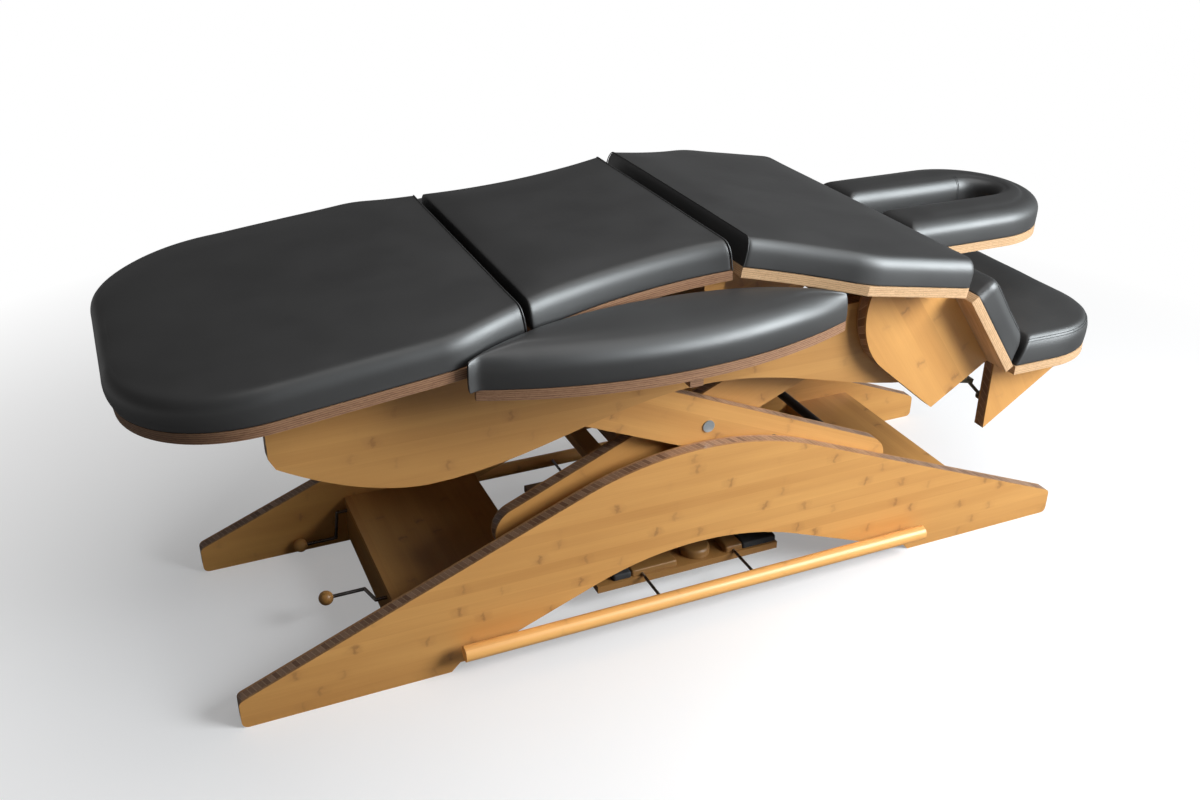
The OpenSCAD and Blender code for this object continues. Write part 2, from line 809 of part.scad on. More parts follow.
// Beam outline: a straight top, a waved lower edge and a tail that sweeps up to the foot end
module beam_outline() {
    mean_z = beam_top_z - beam_depth + beam_arch / 2;
    low_x = beam_arch_x - beam_wave / 2;
    tail = low_x - beam_foot_x;
    steps = 12;
    wave = [for (i = [0:2 * steps]) let (x = low_x + (head_pivot_x - low_x) * i / (2 * steps))
        [x, mean_z + beam_arch / 2 * cos(360 * (x - beam_arch_x) / beam_wave)]];
    sweep = [for (i = [steps:-1:1]) let (share = i / steps)
        [low_x - share * (tail - beam_corner_r / 2),
            mean_z - beam_arch / 2 + (beam_tail_z - mean_z + beam_arch / 2) * pow(share, 1.8)]];
    polygon(concat([[beam_foot_x, beam_top_z], [beam_foot_x, beam_tail_z + beam_corner_r]], sweep, wave,
        [[head_pivot_x + beam_round_r - beam_corner_r, wave[2 * steps][1] + beam_corner_r / 4],
         [beam_head_x, wave[2 * steps][1] + beam_corner_r],
         [beam_head_x, head_pivot_z], [head_pivot_x, head_pivot_z], [head_pivot_x, beam_top_z]]));
    translate([head_pivot_x, head_pivot_z]) intersection() {
        circle(r = beam_round_r);
        translate([-beam_round_r, -beam_round_r])
            square([2 * beam_round_r, beam_round_r + beam_top_z - head_pivot_z]);
    }
}

module beam(side) {
    color(bamboo) difference() {
        side_plate(side, plate_inner, plate_t) beam_outline();
        side_plate(side, plate_inner - over, groove_depth + over) groove_outline(beam_groove_z);
        side_plate(side, plate_inner - over, plate_t - blind + over) translate([pivot_x, beam_groove_z])
            circle(d = shaft_d);
        side_plate(side, plate_inner - over, plate_t + 2 * over) translate([head_pivot_x, head_pivot_z])
            circle(d = head_shaft_d);
    }
}
module beam_near() { beam(-1); }
module beam_far() { beam(1); }

// Places of the two section hinges on the leg slope: [along the slope, depth]
leg_pin = [leg_head - section_pin_inset, -section_t - section_pin_drop];
mid_pin = [mid_foot + section_pin_inset, -section_t - section_pin_drop];
function leg_world(p) = [ridge_x + p[0] * cos(leg_tilt) - p[1] * sin(leg_tilt),
    ridge_z + p[0] * sin(leg_tilt) + p[1] * cos(leg_tilt)];

module cross_rails() {
    full = plate_inner + plate_t;
    leg_x = leg_world(leg_pin)[0];
    mid_x = leg_world(mid_pin)[0];
    color(bamboo) {
        translate([foot_rail_x, -plate_inner, foot_rail_z]) cube([rail_w, 2 * plate_inner, rail_h]);
        translate([(leg_x + mid_x - hinge_rail_w) / 2, -full, beam_top_z])
            cube([hinge_rail_w, 2 * full, hinge_rail_h]);
        translate([mid_rail_x, -full, beam_top_z]) cube([mid_rail_w, 2 * full, mid_rail_h]);
        translate([head_rail_x, -plate_inner, head_rail_z]) cube([rail_w, 2 * plate_inner, head_rail_h]);
    }
}

module frame_shafts() {
    end = plate_inner + plate_t - blind;
    color(steel) {
        translate([pivot_x, 0, beam_groove_z]) bar_y(-end, end, shaft_d / 2);
        translate([head_pivot_x, 0, head_pivot_z]) bar_y(-head_shaft_end, head_shaft_end, head_shaft_d / 2);
    }
}

// Rubber stops that the leg section rests on at its foot end and the middle section near the ridge
module rest_stops() {
    inset = (plate_t - stop_w) / 2;
    color(black_rubber) difference() {
        for (s = [-1, 1]) {
            side_plate(s, plate_inner + inset, stop_w) translate([beam_foot_x, beam_top_z])
                square([stop_l, stop_w]);
            side_plate(s, section_hinge_y, stop_w) translate([mid_rail_x + inset, beam_top_z + mid_rail_h])
                square([mid_rail_w - 2 * inset, stop_w]);
        }
        above_leg_boards();
    }
}

// Posts and pins that carry the leg and middle sections, and knuckles that carry the wings
module frame_hinges() {
    color(steel) {
        for (p = [leg_pin, mid_pin]) {
            at = leg_world(p);
            for (s = [-1, 1]) {
                side_plate(s, section_hinge_y - section_hinge_w / 2, section_hinge_w) {
                    translate([at[0] - section_knuckle_r, beam_top_z + hinge_rail_h])
                        square([2 * section_knuckle_r, at[1] - beam_top_z - hinge_rail_h]);
                    translate(at) circle(r = section_knuckle_r);
                }
                side_plate(s, section_hinge_y - section_hinge_w / 2 - section_hinge_play - lug_w,
                    section_hinge_w + 2 * section_hinge_play + 2 * lug_w)
                    translate(at) circle(d = section_pin_d);
            }
        }
        for (s = [-1, 1], x = wing_hinge_xs) {
            translate([x - wing_arm_w - over, s * wing_pin_y, wing_pin_z]) rotate([0, 90, 0])
                cylinder(h = 2 * wing_arm_w + 2 * over, r = wing_pin_d / 2);
            for (k = [-1, 1]) {
                x0 = k > 0 ? x + wing_arm_w / 2 + wing_knuckle_play : x - wing_arm_w - wing_knuckle_play;
                translate([x0, s * wing_pin_y, wing_pin_z]) rotate([0, 90, 0])
                    cylinder(h = wing_arm_w / 2, r = wing_knuckle_r);
                translate([x0, s > 0 ? plate_inner + plate_t : -wing_pin_y, wing_pin_z - wing_knuckle_r])
                    cube([wing_arm_w / 2, wing_pin_y - plate_inner - plate_t, 2 * wing_knuckle_r]);
            }
        }
    }
}

// A lug pair on the underside of a board that sits on the leg slope, round the pin at p
module hinge_lugs(p, leaf_x) {
    first = section_hinge_y - section_hinge_w / 2 - section_hinge_play - lug_w;
    second = section_hinge_y + section_hinge_w / 2 + section_hinge_play;
    color(steel) on_leg_slope() difference() {
        for (s = [-1, 1]) {
            for (y = [first, second]) side_plate(s, y, lug_w) {
                translate(p) circle(r = section_knuckle_r);
                translate([p[0] - section_knuckle_r, p[1]]) square([2 * section_knuckle_r, section_pin_drop]);
            }
            side_plate(s, first, second + lug_w - first)
                translate([leaf_x, -section_t - lug_leaf_t]) square([lug_leaf_l, lug_leaf_t]);
        }
        translate([p[0], 0, p[1]]) bar_y(-far_reach, far_reach, section_pin_d / 2 + fit_gap);
        for (s = [-1, 1]) side_plate(s, section_hinge_y - section_hinge_w / 2 - section_hinge_play,
            section_hinge_w + 2 * section_hinge_play)
            translate([p[0] - section_knuckle_r - section_hinge_play, -section_t - lug_leaf_t - over])
                square([2 * section_knuckle_r + 2 * section_hinge_play, lug_leaf_t + 2 * over]);
    }
}
module leg_hinge_lugs() { hinge_lugs(leg_pin, leg_pin[0] - lug_leaf_l); }
module mid_hinge_lugs() { hinge_lugs(mid_pin, mid_pin[0]); }

module leg_board() {
    color(plywood) on_leg_slope() translate([0, 0, -section_t]) linear_extrude(board_t) difference() {
        rounded_outline(leg_foot, leg_head, leg_w / 2, leg_corner_r, 0);
        waist_cuts(leg_waist);
    }
}

module leg_cushion() {
    half = leg_w / 2;
    flare = leg_waist - sqrt(waist_r * waist_r - (waist_y - half) * (waist_y - half));
    cols = concat(
        [for (i = [0:7]) let (a = 90 * i / 7)
            even_pair(leg_foot + leg_corner_r * (1 - cos(a)), half - leg_corner_r * (1 - sin(a)))],
        [for (i = [0:6]) let (x = flare + (leg_head - flare) * i / 6)
            even_pair(x, waisted(x, half, leg_waist, waist_r, waist_y))]);
    color(hide) on_leg_slope() translate([0, 0, -pad_t]) column_pad(cols, half, pad_t, pad_crown);
}

module mid_board() {
    color(plywood)
        on_leg_slope() translate([0, 0, -section_t]) linear_extrude(board_t) difference() {
            rounded_outline(mid_foot, mid_head, waist_w / 2 + pad_t, 0, 0);
            waist_cuts(leg_waist);
        }
}

module mid_cushion() {
    cols = [for (i = [0:12]) let (x = mid_foot + (mid_head - mid_foot) * i / 12)
        even_pair(x, waisted(x, leg_w / 2, leg_waist, waist_r, waist_y))];
    color(hide) on_leg_slope() translate([0, 0, -pad_t])
        column_pad(cols, waist_w / 2, pad_t, pad_crown);
}

module thorax_board() {
    color(pale_ply)
        on_thorax_slope() translate([0, 0, -section_t]) linear_extrude(board_t) difference() {
            rounded_outline(thorax_foot, thorax_head, thorax_w / 2, 0, thorax_corner_r);
            waist_cuts(thorax_waist);
        }
}

module thorax_cushion() {
    half = thorax_w / 2;
    flare = thorax_waist + sqrt(waist_r * waist_r - (waist_y - half) * (waist_y - half));
    cols = concat(
        [for (i = [0:7]) let (x = thorax_foot + (flare - thorax_foot) * i / 7)
            even_pair(x, waisted(x, half, thorax_waist, waist_r, waist_y))],
        [for (i = [1:3]) even_pair(flare + (thorax_head - thorax_corner_r - flare) * i / 3, half)],
        [for (i = [1:3]) let (a = 30 * i)
            even_pair(thorax_head - thorax_corner_r * (1 - sin(a)), half - thorax_corner_r * (1 - cos(a)))]);
    color(hide) on_thorax_slope() translate([0, 0, -pad_t])
        column_pad(cols, half, pad_t, pad_crown);
}

module shoulder_board() {
    color(pale_ply) on_shoulder_slope() linear_extrude(board_t) difference() {
        translate([0, -rest_w / 2]) square([shoulder_l, rest_w]);
        translate([-over, -notch_w / 2]) square([notch_l + over, notch_w]);
    }
}

// The shoulder cushion: columns down its slope, side by side across the table, with a notch
// under the cradle at its top edge and a bevel at its lower end
module shoulder_cushion() {
    function ys(half, edge) = [-half, -half + shoulder_corner_r / 3, -half + shoulder_corner_r,
        -(half + edge) / 2, -edge - notch_side, -edge, -edge / 2];
    function ring(i, z) =
        let (half = rest_w / 2 - i, edge = notch_w / 2 + i, left = ys(half, edge))
        [for (y = concat(left, [0], [for (j = [len(left) - 1:-1:0]) -left[j]]))
            let (d = max(0, shoulder_corner_r - half + abs(y)),
                drop = shoulder_corner_r - sqrt(shoulder_corner_r * shoulder_corner_r - d * d),
                top = abs(y) < edge + notch_side / 2 ? notch_l : 0)
            [[y, -shoulder_l + i + drop + z * shoulder_bevel / shoulder_pad_t], [y, -top - i - drop]]];
    rings = [for (k = [0:len(inset_shares) - 1])
        ring(inset_shares[k] * shoulder_edge, level_shares[k] * (shoulder_pad_t - pad_crown))];
    color(hide) on_shoulder_slope() translate([0, 0, board_t]) rotate(90)
        pad_solid(rings, shoulder_pad_t, pad_crown);
}

// Outline of a sector plate: a disc about the head pivot with a tail down to the shoulder board
module sector_outline() {
    tangent_a = atan2(-sector_drop, sector_tip_x) - acos(sector_r / norm([sector_tip_x, sector_drop]));
    board_end_x = ridge_x + thorax_head * cos(thorax_tilt) - section_t * sin(thorax_tilt);
    board_end_z = ridge_z - thorax_head * sin(thorax_tilt) - section_t * cos(thorax_tilt);
    translate([head_pivot_x, head_pivot_z]) {
        circle(r = sector_r);
        polygon([[sector_r * cos(tangent_a), sector_r * sin(tangent_a)], [sector_tip_x, -sector_drop],
            [shoulder_end_x - head_pivot_x, shoulder_end_z - head_pivot_z], [shoulder_ahead, shoulder_rise],
            [board_end_x - head_pivot_x, board_end_z - head_pivot_z], [0, 0]]);
    }
}

module sector(side) {
    color(bamboo) difference() {
        side_plate(side, sector_y, sector_t) sector_outline();
        on_thorax_slope() translate([-far_reach, -far_reach, -section_t])
            cube([2 * far_reach, 2 * far_reach, far_reach]);
        on_shoulder_slope() translate([-far_reach, -far_reach, 0])
            cube([2 * far_reach, 2 * far_reach, far_reach]);
        side_plate(side, sector_y - over, head_shaft_end - sector_y + over + fit_gap)
            translate([head_pivot_x, head_pivot_z]) circle(r = head_shaft_d / 2 + fit_gap);
    }
}
module sector_near() { sector(-1); }
module sector_far() { sector(1); }

// Wooden blocks under the thorax board that the cradle's rods slide in
module cradle_socket() {
    color(bamboo) difference() {
        for (s = [-1, 1]) translate([socket_foot_x, s * rod_y - socket_w / 2, rod_z - rod_d])
            cube([socket_head_x - socket_foot_x, socket_w, section_t]);
        on_thorax_slope() translate([-far_reach, -far_reach, -section_t])
            cube([2 * far_reach, 2 * far_reach, far_reach]);
        for (s = [-1, 1]) translate([0, s * rod_y, rod_z]) rotate([0, 90, 0])
            cylinder(h = far_reach, r = rod_d / 2 + fit_gap);
    }
}

module cradle_rods() {
    color(zinc) {
        for (s = [-1, 1]) translate([rod_foot_x, s * rod_y, rod_z]) rotate([0, 90, 0])
            cylinder(h = rod_head_x - rod_foot_x, r = rod_d / 2);
        translate([cradle_hinge_x, 0, cradle_hinge_z]) bar_y(-cradle_bar_half, cradle_bar_half, cradle_bar_r);
    }
}

// The cradle's U-shaped board: a round-headed slot open towards the thorax, and two hinge ears
module cradle_board() {
    half = cradle_w / 2;
    color(pale_ply) {
        translate([0, 0, cradle_z]) linear_extrude(board_t) difference() {
            union() {
                translate([cradle_foot_x, -half]) square([cradle_head_x - half - cradle_foot_x, cradle_w]);
                translate([cradle_head_x - half, 0]) circle(r = half);
            }
            translate([cradle_foot_x - over, -slot_w / 2])
                square([slot_head_x - slot_w / 2 - cradle_foot_x + over, slot_w]);
            translate([slot_head_x - slot_w / 2, 0]) circle(d = slot_w);
        }
        difference() {
            for (s = [-1, 1]) side_plate(s, ear_y, ear_w) translate([cradle_hinge_x, cradle_hinge_z]) {
                circle(r = cradle_hinge_drop);
                translate([-cradle_hinge_drop, 0]) square([2 * cradle_hinge_drop, cradle_hinge_drop]);
            }
            translate([cradle_hinge_x, 0, cradle_hinge_z])
                bar_y(-far_reach, far_reach, cradle_bar_r + fit_gap);
        }
    }
}

// The cradle cushion: columns from its outer wall to its slot, along one arm, round the head end
// and back along the other
module cradle_cushion() {
    half = cradle_w / 2;
    slot = slot_w / 2;
    outer_x = cradle_head_x - half;
    inner_x = slot_head_x - slot;
    arm_steps = 5;
    turn_steps = 16;
    function arm_column(share, side, i) = let (d = i * (1 - share))
        [[cradle_foot_x + d + (outer_x - cradle_foot_x) * share, side * (half - i)],
         [cradle_foot_x + d + (inner_x - cradle_foot_x) * share, side * (slot + i)]];
    function ring(i) = concat(
        [for (k = [0:arm_steps - 1]) arm_column(k / arm_steps, -1, i)],
        [for (k = [0:turn_steps]) let (a = -90 + 180 * k / turn_steps)
            [[outer_x + (half - i) * cos(a), (half - i) * sin(a)],
             [inner_x + (slot + i) * cos(a), (slot + i) * sin(a)]]],
        [for (k = [arm_steps - 1:-1:0]) arm_column(k / arm_steps, 1, i)]);
    color(hide) translate([0, 0, cradle_z + board_t])
        pad_solid([for (s = inset_shares) ring(s * cradle_edge)], cradle_pad_t, pad_crown);
}

module forearm_board() {
    color(pale_ply) translate([0, 0, forearm_z]) linear_extrude(board_t)
        rounded_outline(forearm_x, forearm_head_x, rest_w / 2, 0, forearm_corner_r);
}

module forearm_cushion() {
    half = rest_w / 2;
    corner_x = forearm_head_x - forearm_corner_r;
    cols = concat(
        [for (i = [0:3]) even_pair(forearm_x + (corner_x - forearm_x) * i / 4, half)],
        [for (i = [0:8]) let (a = 90 * i / 8)
            even_pair(corner_x + forearm_corner_r * sin(a), half - forearm_corner_r * (1 - cos(a)))]);
    color(hide) translate([0, 0, forearm_z + board_t])
        column_pad(cols, half, forearm_pad_t, pad_crown, [forearm_lean / forearm_pad_t, 0]);
}

module forearm_gussets() {
    x = forearm_x + gusset_inset;
    color(bamboo) difference() {
        for (s = [-1, 1]) side_plate(s, gusset_y, gusset_t)
            polygon([[x, forearm_z], [x, forearm_z - gusset_h], [x + gusset_l, forearm_z]]);
        side_plate(-1, gusset_y - over, gusset_t - blind / 2 + over) translate([lever_x, lever_z])
            circle(r = lever_pin_d / 2 + fit_gap);
    }
}

// Steel tabs on the shoulder board's lower end with the forearm rest's hinge pins
module forearm_hinge() {
    leaf_half = forearm_hinge_w / 2 + forearm_hinge_play;
    color(steel) for (s = [-1, 1], y = forearm_hinge_ys) {
        for (start = [y - leaf_half - forearm_hinge_w / 2, y + leaf_half])
            side_plate(s, start, forearm_hinge_w / 2) {
                translate([forearm_pin_x, forearm_pin_z]) circle(r = forearm_knuckle_r);
                tab_outline();
            }
        side_plate(s, y - leaf_half - forearm_hinge_w / 2, 2 * leaf_half + forearm_hinge_w)
            translate([forearm_pin_x, forearm_pin_z]) circle(d = forearm_pin_d);
    }
}

// A tab's outline, from the shoulder board's lower end face to the pin
module tab_outline() {
    low_share = 0.2;
    high_share = 0.8;
    outward = [sin(shoulder_tilt), cos(shoulder_tilt)] * board_t;
    end = [shoulder_end_x, shoulder_end_z];
    across = [-outward[1], outward[0]] / board_t * forearm_knuckle_r;
    polygon([end + outward * low_share, end + outward * high_share,
        [forearm_pin_x, forearm_pin_z] - across * high_share,
        [forearm_pin_x, forearm_pin_z] + across * high_share]);
}

module forearm_leaf() {
    color(steel) difference() {
        for (s = [-1, 1], y = forearm_hinge_ys) side_plate(s, y - forearm_hinge_w / 2, forearm_hinge_w) {
            translate([forearm_pin_x, forearm_pin_z]) circle(r = forearm_knuckle_r);
            translate([forearm_pin_x, forearm_pin_z - forearm_knuckle_r])
                square([forearm_x - forearm_pin_x, 2 * forearm_knuckle_r]);
        }
        translate([forearm_pin_x, 0, forearm_pin_z])
            bar_y(-far_reach, far_reach, forearm_pin_d / 2 + fit_gap);
    }
}

// Hand lever on the near gusset: a pin in the gusset, a rod and a flat paddle
module release_lever() {
    end = [lever_x - lever_reach, -lever_y, lever_z + lever_rise];
    color("#4b4a35") {
        translate([lever_x, 0, lever_z]) {
            bar_y(-gusset_y - gusset_t + blind, -lever_y + lever_hub_r / 2, lever_pin_d / 2);
            bar_y(-lever_y - lever_hub_r / 2, -lever_y + lever_hub_r / 2, lever_hub_r);
        }
        rod_between([lever_x, -lever_y, lever_z], end, lever_rod_d / 2);
        translate(end) rotate([0, lever_paddle_lean, 0])
            translate([-paddle_l + lever_rod_d, -paddle_w / 2, -paddle_t / 2])
                cube([paddle_l, paddle_w, paddle_t]);
    }
}

// Distances of a wing's inner and outer arcs from the middle of the table
function wing_inner(x) = waist_y - sqrt(wing_inner_r * wing_inner_r - (x - waist_x) * (x - waist_x));
function wing_outer(x) =
    wing_outer_y + sqrt(wing_outer_r * wing_outer_r - (x - wing_outer_x) * (x - wing_outer_x));

module wing_outline(side) {
    intersection() {
        translate([wing_outer_x, side * wing_outer_y]) circle(r = wing_outer_r, $fn = 180);
        translate([waist_x, side * waist_y]) circle(r = wing_inner_r, $fn = 180);
        translate([wing_foot_x, side > 0 ? plate_inner : -plate_inner - wing_reach])
            square([wing_head_x - wing_foot_x, wing_reach]);
    }
}

// A wing's board with two hinge arms and a long brace under it
module wing_board(side) {
    arm_z = wing_pin_z - wing_knuckle_r;
    function low_y(a, b) = side > 0 ? a : -b;
    color(plywood) {
        translate([0, 0, wing_board_z]) linear_extrude(board_t) wing_outline(side);
        translate([wing_brace_x, low_y(wing_brace_foot, wing_reach - wing_brace_inset), arm_z])
            cube([wing_brace_w, wing_reach - wing_brace_inset - wing_brace_foot, wing_board_z - arm_z]);
        for (x = wing_hinge_xs) difference() {
            union() {
                translate([x - wing_arm_w / 2, low_y(wing_pin_y, wing_arm_reach), arm_z])
                    cube([wing_arm_w, wing_arm_reach - wing_pin_y, wing_board_z - arm_z]);
                translate([x - wing_arm_w / 2, side * wing_pin_y, wing_pin_z]) rotate([0, 90, 0])
                    cylinder(h = wing_arm_w, r = wing_knuckle_r);
            }
            translate([x - wing_arm_w, side * wing_pin_y, wing_pin_z]) rotate([0, 90, 0])
                cylinder(h = 2 * wing_arm_w, r = wing_pin_d / 2 + fit_gap);
        }
    }
}
module wing_board_near() { wing_board(-1); }
module wing_board_far() { wing_board(1); }

module wing_cushion(side) {
    steps = 14;
    cols = [for (i = [0:steps])
        let (x = wing_foot_x + (wing_head_x - wing_foot_x) * i / steps, a = wing_inner(x), b = wing_outer(x))
        side > 0 ? [[x, a], [x, b]] : [[x, -b], [x, -a]]];
    color(hide) translate([0, 0, wing_board_z + board_t])
        column_pad(cols, (wing_reach - wing_inner(waist_x)) / 2, wing_pad_t, wing_crown);
}
module wing_cushion_near() { wing_cushion(-1); }
module wing_cushion_far() { wing_cushion(1); }

// The treadle's board with two lugs that hang it from its pins
module treadle_board() {
    top_z = treadle_z + treadle_t;
    color(bamboo) {
        translate([treadle_foot_x, -treadle_half, treadle_z])
            cube([treadle_head_x - treadle_foot_x, 2 * treadle_half, treadle_t]);
        for (s = [-1, 1]) side_plate(s, hanger_y - bracket_play - treadle_lug_w, treadle_lug_w) difference() {
            union() {
                translate([treadle_x, treadle_pin_z]) circle(d = hanger_w);
                translate([treadle_x - hanger_w / 2, top_z]) square([hanger_w, treadle_pin_z - top_z]);
            }
            translate([treadle_x, treadle_pin_z]) circle(r = treadle_pin_d / 2 + fit_gap);
        }
    }
}

// Steel rods that lie on the treadle board and pass under the base panels to the foot bars
module treadle_rods() {
    color(steel) for (x = treadle_rod_xs, s = [-1, 1])
        translate([x, 0, treadle_z + treadle_t + treadle_rod_d / 2])
            bar_y(s > 0 ? treadle_rod_foot : -foot_bar_y + foot_bar_d / 2 - treadle_rod_sink,
                s > 0 ? foot_bar_y - foot_bar_d / 2 + treadle_rod_sink : -treadle_rod_foot,
                treadle_rod_d / 2);
}

module foot_bars() {
    color(bamboo) difference() {
        for (s = [-1, 1]) translate([foot_bar_x - foot_bar_l / 2, s * foot_bar_y, foot_bar_z])
            rotate([0, 90, 0]) cylinder(h = foot_bar_l, r = foot_bar_d / 2);
        treadle_rods();
    }
}

// Rubber pads, wooden pads and a round button in a row along the treadle's near edge,
// channelled where they sit over the rods
module treadle_pads() {
    top_z = treadle_z + treadle_t;
    color(black_rubber) difference() {
        union() {
            for (p = concat(foot_pads, foot_boards))
                translate([p[0], -pad_row_y - pad_row_w, top_z]) cube([p[1], pad_row_w, pad_row_h]);
            translate([disc_x, -pad_row_y - pad_row_w / 2, top_z]) cylinder(h = disc_h, r = disc_r);
        }
        treadle_rods();
        for (x = treadle_rod_xs)
            translate([x - treadle_rod_d / 2, -pad_row_y - pad_row_w - over, top_z - over])
                cube([treadle_rod_d, pad_row_w + 2 * over, over + treadle_rod_d / 2]);
    }
}

// A crank's own frame: its axis along x, its handle hanging straight down at a turn of 0
module on_crank(y, turn) {
    translate([0, y, crank_z]) rotate([turn, 0, 0]) children();
}

// A crank rod with its arm and handle, and the plate and axle that carry a castor wheel
module crank_rod(side) {
    bend = [crank_bend_x, 0, 0];
    knee = [crank_bend_x - crank_lean, 0, -crank_throw];
    grip = knee - [crank_handle_l - ball_d / 2 + crank_ball_sink, 0, 0];
    color(steel) {
        translate([crank_bend_x, 0, 0]) rotate([0, 90, 0])
            cylinder(h = crank_rod_end_x - crank_bend_x, r = crank_d / 2);
        rod_between(bend, knee, crank_d / 2);
        translate(grip) rotate([0, 90, 0]) cylinder(h = knee[0] - grip[0], r = crank_d / 2);
        upright(-castor_plate_t / 2, castor_plate_t) {
            translate([castor_x, -crank_throw]) circle(d = castor_plate_w);
            translate([castor_x - castor_plate_w / 2, -crank_throw])
                square([castor_plate_w, crank_throw + crank_d / 2]);
        }
        side_plate(side, 0, castor_plate_t / 2 + castor_gap + castor_t)
            translate([castor_x, -crank_throw]) circle(d = castor_pin_d);
    }
}

module castor_wheel(side) {
    color(black_rubber) side_plate(side, castor_plate_t / 2 + castor_gap, castor_t)
        translate([castor_x, -crank_throw]) difference() {
            circle(d = castor_d);
            circle(r = castor_pin_d / 2 + fit_gap);
        }
}

// A wooden ball on the end of a crank's handle
module crank_ball() {
    x = crank_bend_x - crank_lean - crank_handle_l;
    color(dowel) difference() {
        translate([x, 0, -crank_throw]) sphere(d = ball_d);
        translate([x + ball_d / 2 - crank_ball_sink, 0, -crank_throw]) rotate([0, 90, 0])
            cylinder(h = ball_d, r = crank_d / 2 + fit_gap);
    }
}

module crank_rod_near() { on_crank(crank_near_y, crank_near_turn) crank_rod(-1); }
module crank_ball_near() { on_crank(crank_near_y, crank_near_turn) crank_ball(); }
module castor_wheel_near() { on_crank(crank_near_y, crank_near_turn) castor_wheel(-1); }
module crank_rod_far() { on_crank(crank_far_y, 0) crank_rod(1); }
module crank_ball_far() { on_crank(crank_far_y, 0) crank_ball(); }
module castor_wheel_far() { on_crank(crank_far_y, 0) castor_wheel(1); }

base_panel_near();
base_panel_far();
box_tops();
box_boards();
base_stretchers();
base_brackets();
lower_pivot_shaft();
arm_outer_near();
arm_outer_far();
torque_bar();
upper_rollers();
centre_bolts();
arm_inner_near();
arm_inner_far();
inner_cross_rail();
lower_rollers();
actuator_housing();
actuator_rod();
beam_near();
beam_far();
cross_rails();
frame_shafts();
rest_stops();
frame_hinges();
leg_board();
leg_cushion();
leg_hinge_lugs();
mid_board();
mid_cushion();
mid_hinge_lugs();
thorax_board();
thorax_cushion();
shoulder_board();
shoulder_cushion();
sector_near();
sector_far();
cradle_socket();
forearm_hinge();
cradle_rods();
cradle_board();
cradle_cushion();
forearm_board();
forearm_cushion();
forearm_gussets();
forearm_leaf();
release_lever();
wing_board_near();
wing_cushion_near();
wing_board_far();
wing_cushion_far();
treadle_board();
foot_bars();
treadle_rods();
treadle_pads();
crank_rod_near();
crank_ball_near();
castor_wheel_near();
crank_rod_far();
crank_ball_far();
castor_wheel_far();
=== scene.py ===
# %% [markdown]
# A padded treatment table, dressed in Blender
# The frame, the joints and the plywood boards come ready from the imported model. This lesson
# gives them their wood, and makes the soft parts, which no drawing of flat boards can show:
# eight tight cushions under a smooth synthetic hide. Everything is in metres, +X to the head
# end and +Z up, so a piece is written where the model says and needs no fitting.

from math import cos, pi, radians, sin

import bmesh
import bpy
import numpy as np
from mathutils import Matrix, Vector


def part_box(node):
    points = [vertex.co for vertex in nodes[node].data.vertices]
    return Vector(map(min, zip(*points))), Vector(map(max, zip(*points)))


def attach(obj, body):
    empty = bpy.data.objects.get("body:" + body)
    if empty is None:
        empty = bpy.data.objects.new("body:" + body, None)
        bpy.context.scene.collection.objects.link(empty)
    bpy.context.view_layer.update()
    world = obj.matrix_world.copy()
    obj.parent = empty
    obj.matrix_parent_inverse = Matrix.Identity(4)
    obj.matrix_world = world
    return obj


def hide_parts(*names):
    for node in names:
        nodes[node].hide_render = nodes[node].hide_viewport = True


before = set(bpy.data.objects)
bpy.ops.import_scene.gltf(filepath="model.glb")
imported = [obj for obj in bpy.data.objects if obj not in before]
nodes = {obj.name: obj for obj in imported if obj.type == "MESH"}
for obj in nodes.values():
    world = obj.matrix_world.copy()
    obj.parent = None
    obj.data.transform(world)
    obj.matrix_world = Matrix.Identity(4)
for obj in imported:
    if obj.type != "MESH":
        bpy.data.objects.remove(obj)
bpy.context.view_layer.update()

# %% [markdown]
# The camera comes first, because it decides which edges deserve work. It could be aimed with a
# constraint, but then its small roll would be lost. Here its three axes are worked out from the
# azimuth, the angle down and the roll, and they become the columns of its matrix.

# %% Camera
def camera_axes(azimuth, down, roll):
    """Right, up and backward unit vectors: backward is the azimuth turned in the floor plane and
    lifted by the downward angle, up is its cross product with right, and roll turns both."""
    back = Vector((sin(azimuth) * cos(down), -cos(azimuth) * cos(down), sin(down)))
    right = Vector((cos(azimuth), sin(azimuth), 0))
    up = back.cross(right)
    return cos(roll) * right + sin(roll) * up, cos(roll) * up - sin(roll) * right, back


right, up, back = camera_axes(radians(-23.9), radians(27.4), radians(0.49))
camera_data = bpy.data.cameras.new("camera")
camera_data.lens = 35.85
camera_data.sensor_width = 36
camera = bpy.data.objects.new("camera", camera_data)
camera.matrix_world = Matrix((
    (right.x, up.x, back.x, -0.9055),
    (right.y, up.y, back.y, -1.9343),
    (right.z, up.z, back.z, 1.450),
    (0, 0, 0, 1)))
bpy.context.scene.collection.objects.link(camera)
bpy.context.scene.camera = camera
print("camera looks along", [round(v, 3) for v in -back])

# %% [markdown]
# Shader trees are long to write by hand. Two helpers keep them readable: one puts a node into a
# tree with its values, and takes a socket as a link, the other does sums.

# %% Shader helpers
def put(tree, kind, values=None, **settings):
    """A node of this kind. A value that is a socket becomes a link, any other is set."""
    made = tree.nodes.new(kind)
    for name, value in settings.items():
        setattr(made, name, value)
    for name, value in (values or {}).items():
        if isinstance(value, bpy.types.NodeSocket):
            tree.links.new(value, made.inputs[name])
        else:
            made.inputs[name].default_value = value
    return made


def sums(tree, operation, *terms):
    """One step of arithmetic on numbers or sockets."""
    return put(tree, "ShaderNodeMath", dict(enumerate(terms)), operation=operation).outputs[0]


def between(tree, amount, low, high):
    """A colour that goes from low to high as the amount goes from 0 to 1."""
    mix = put(tree, "ShaderNodeMix", {0: amount, 6: low, 7: high}, data_type="RGBA")
    return mix.outputs[2]


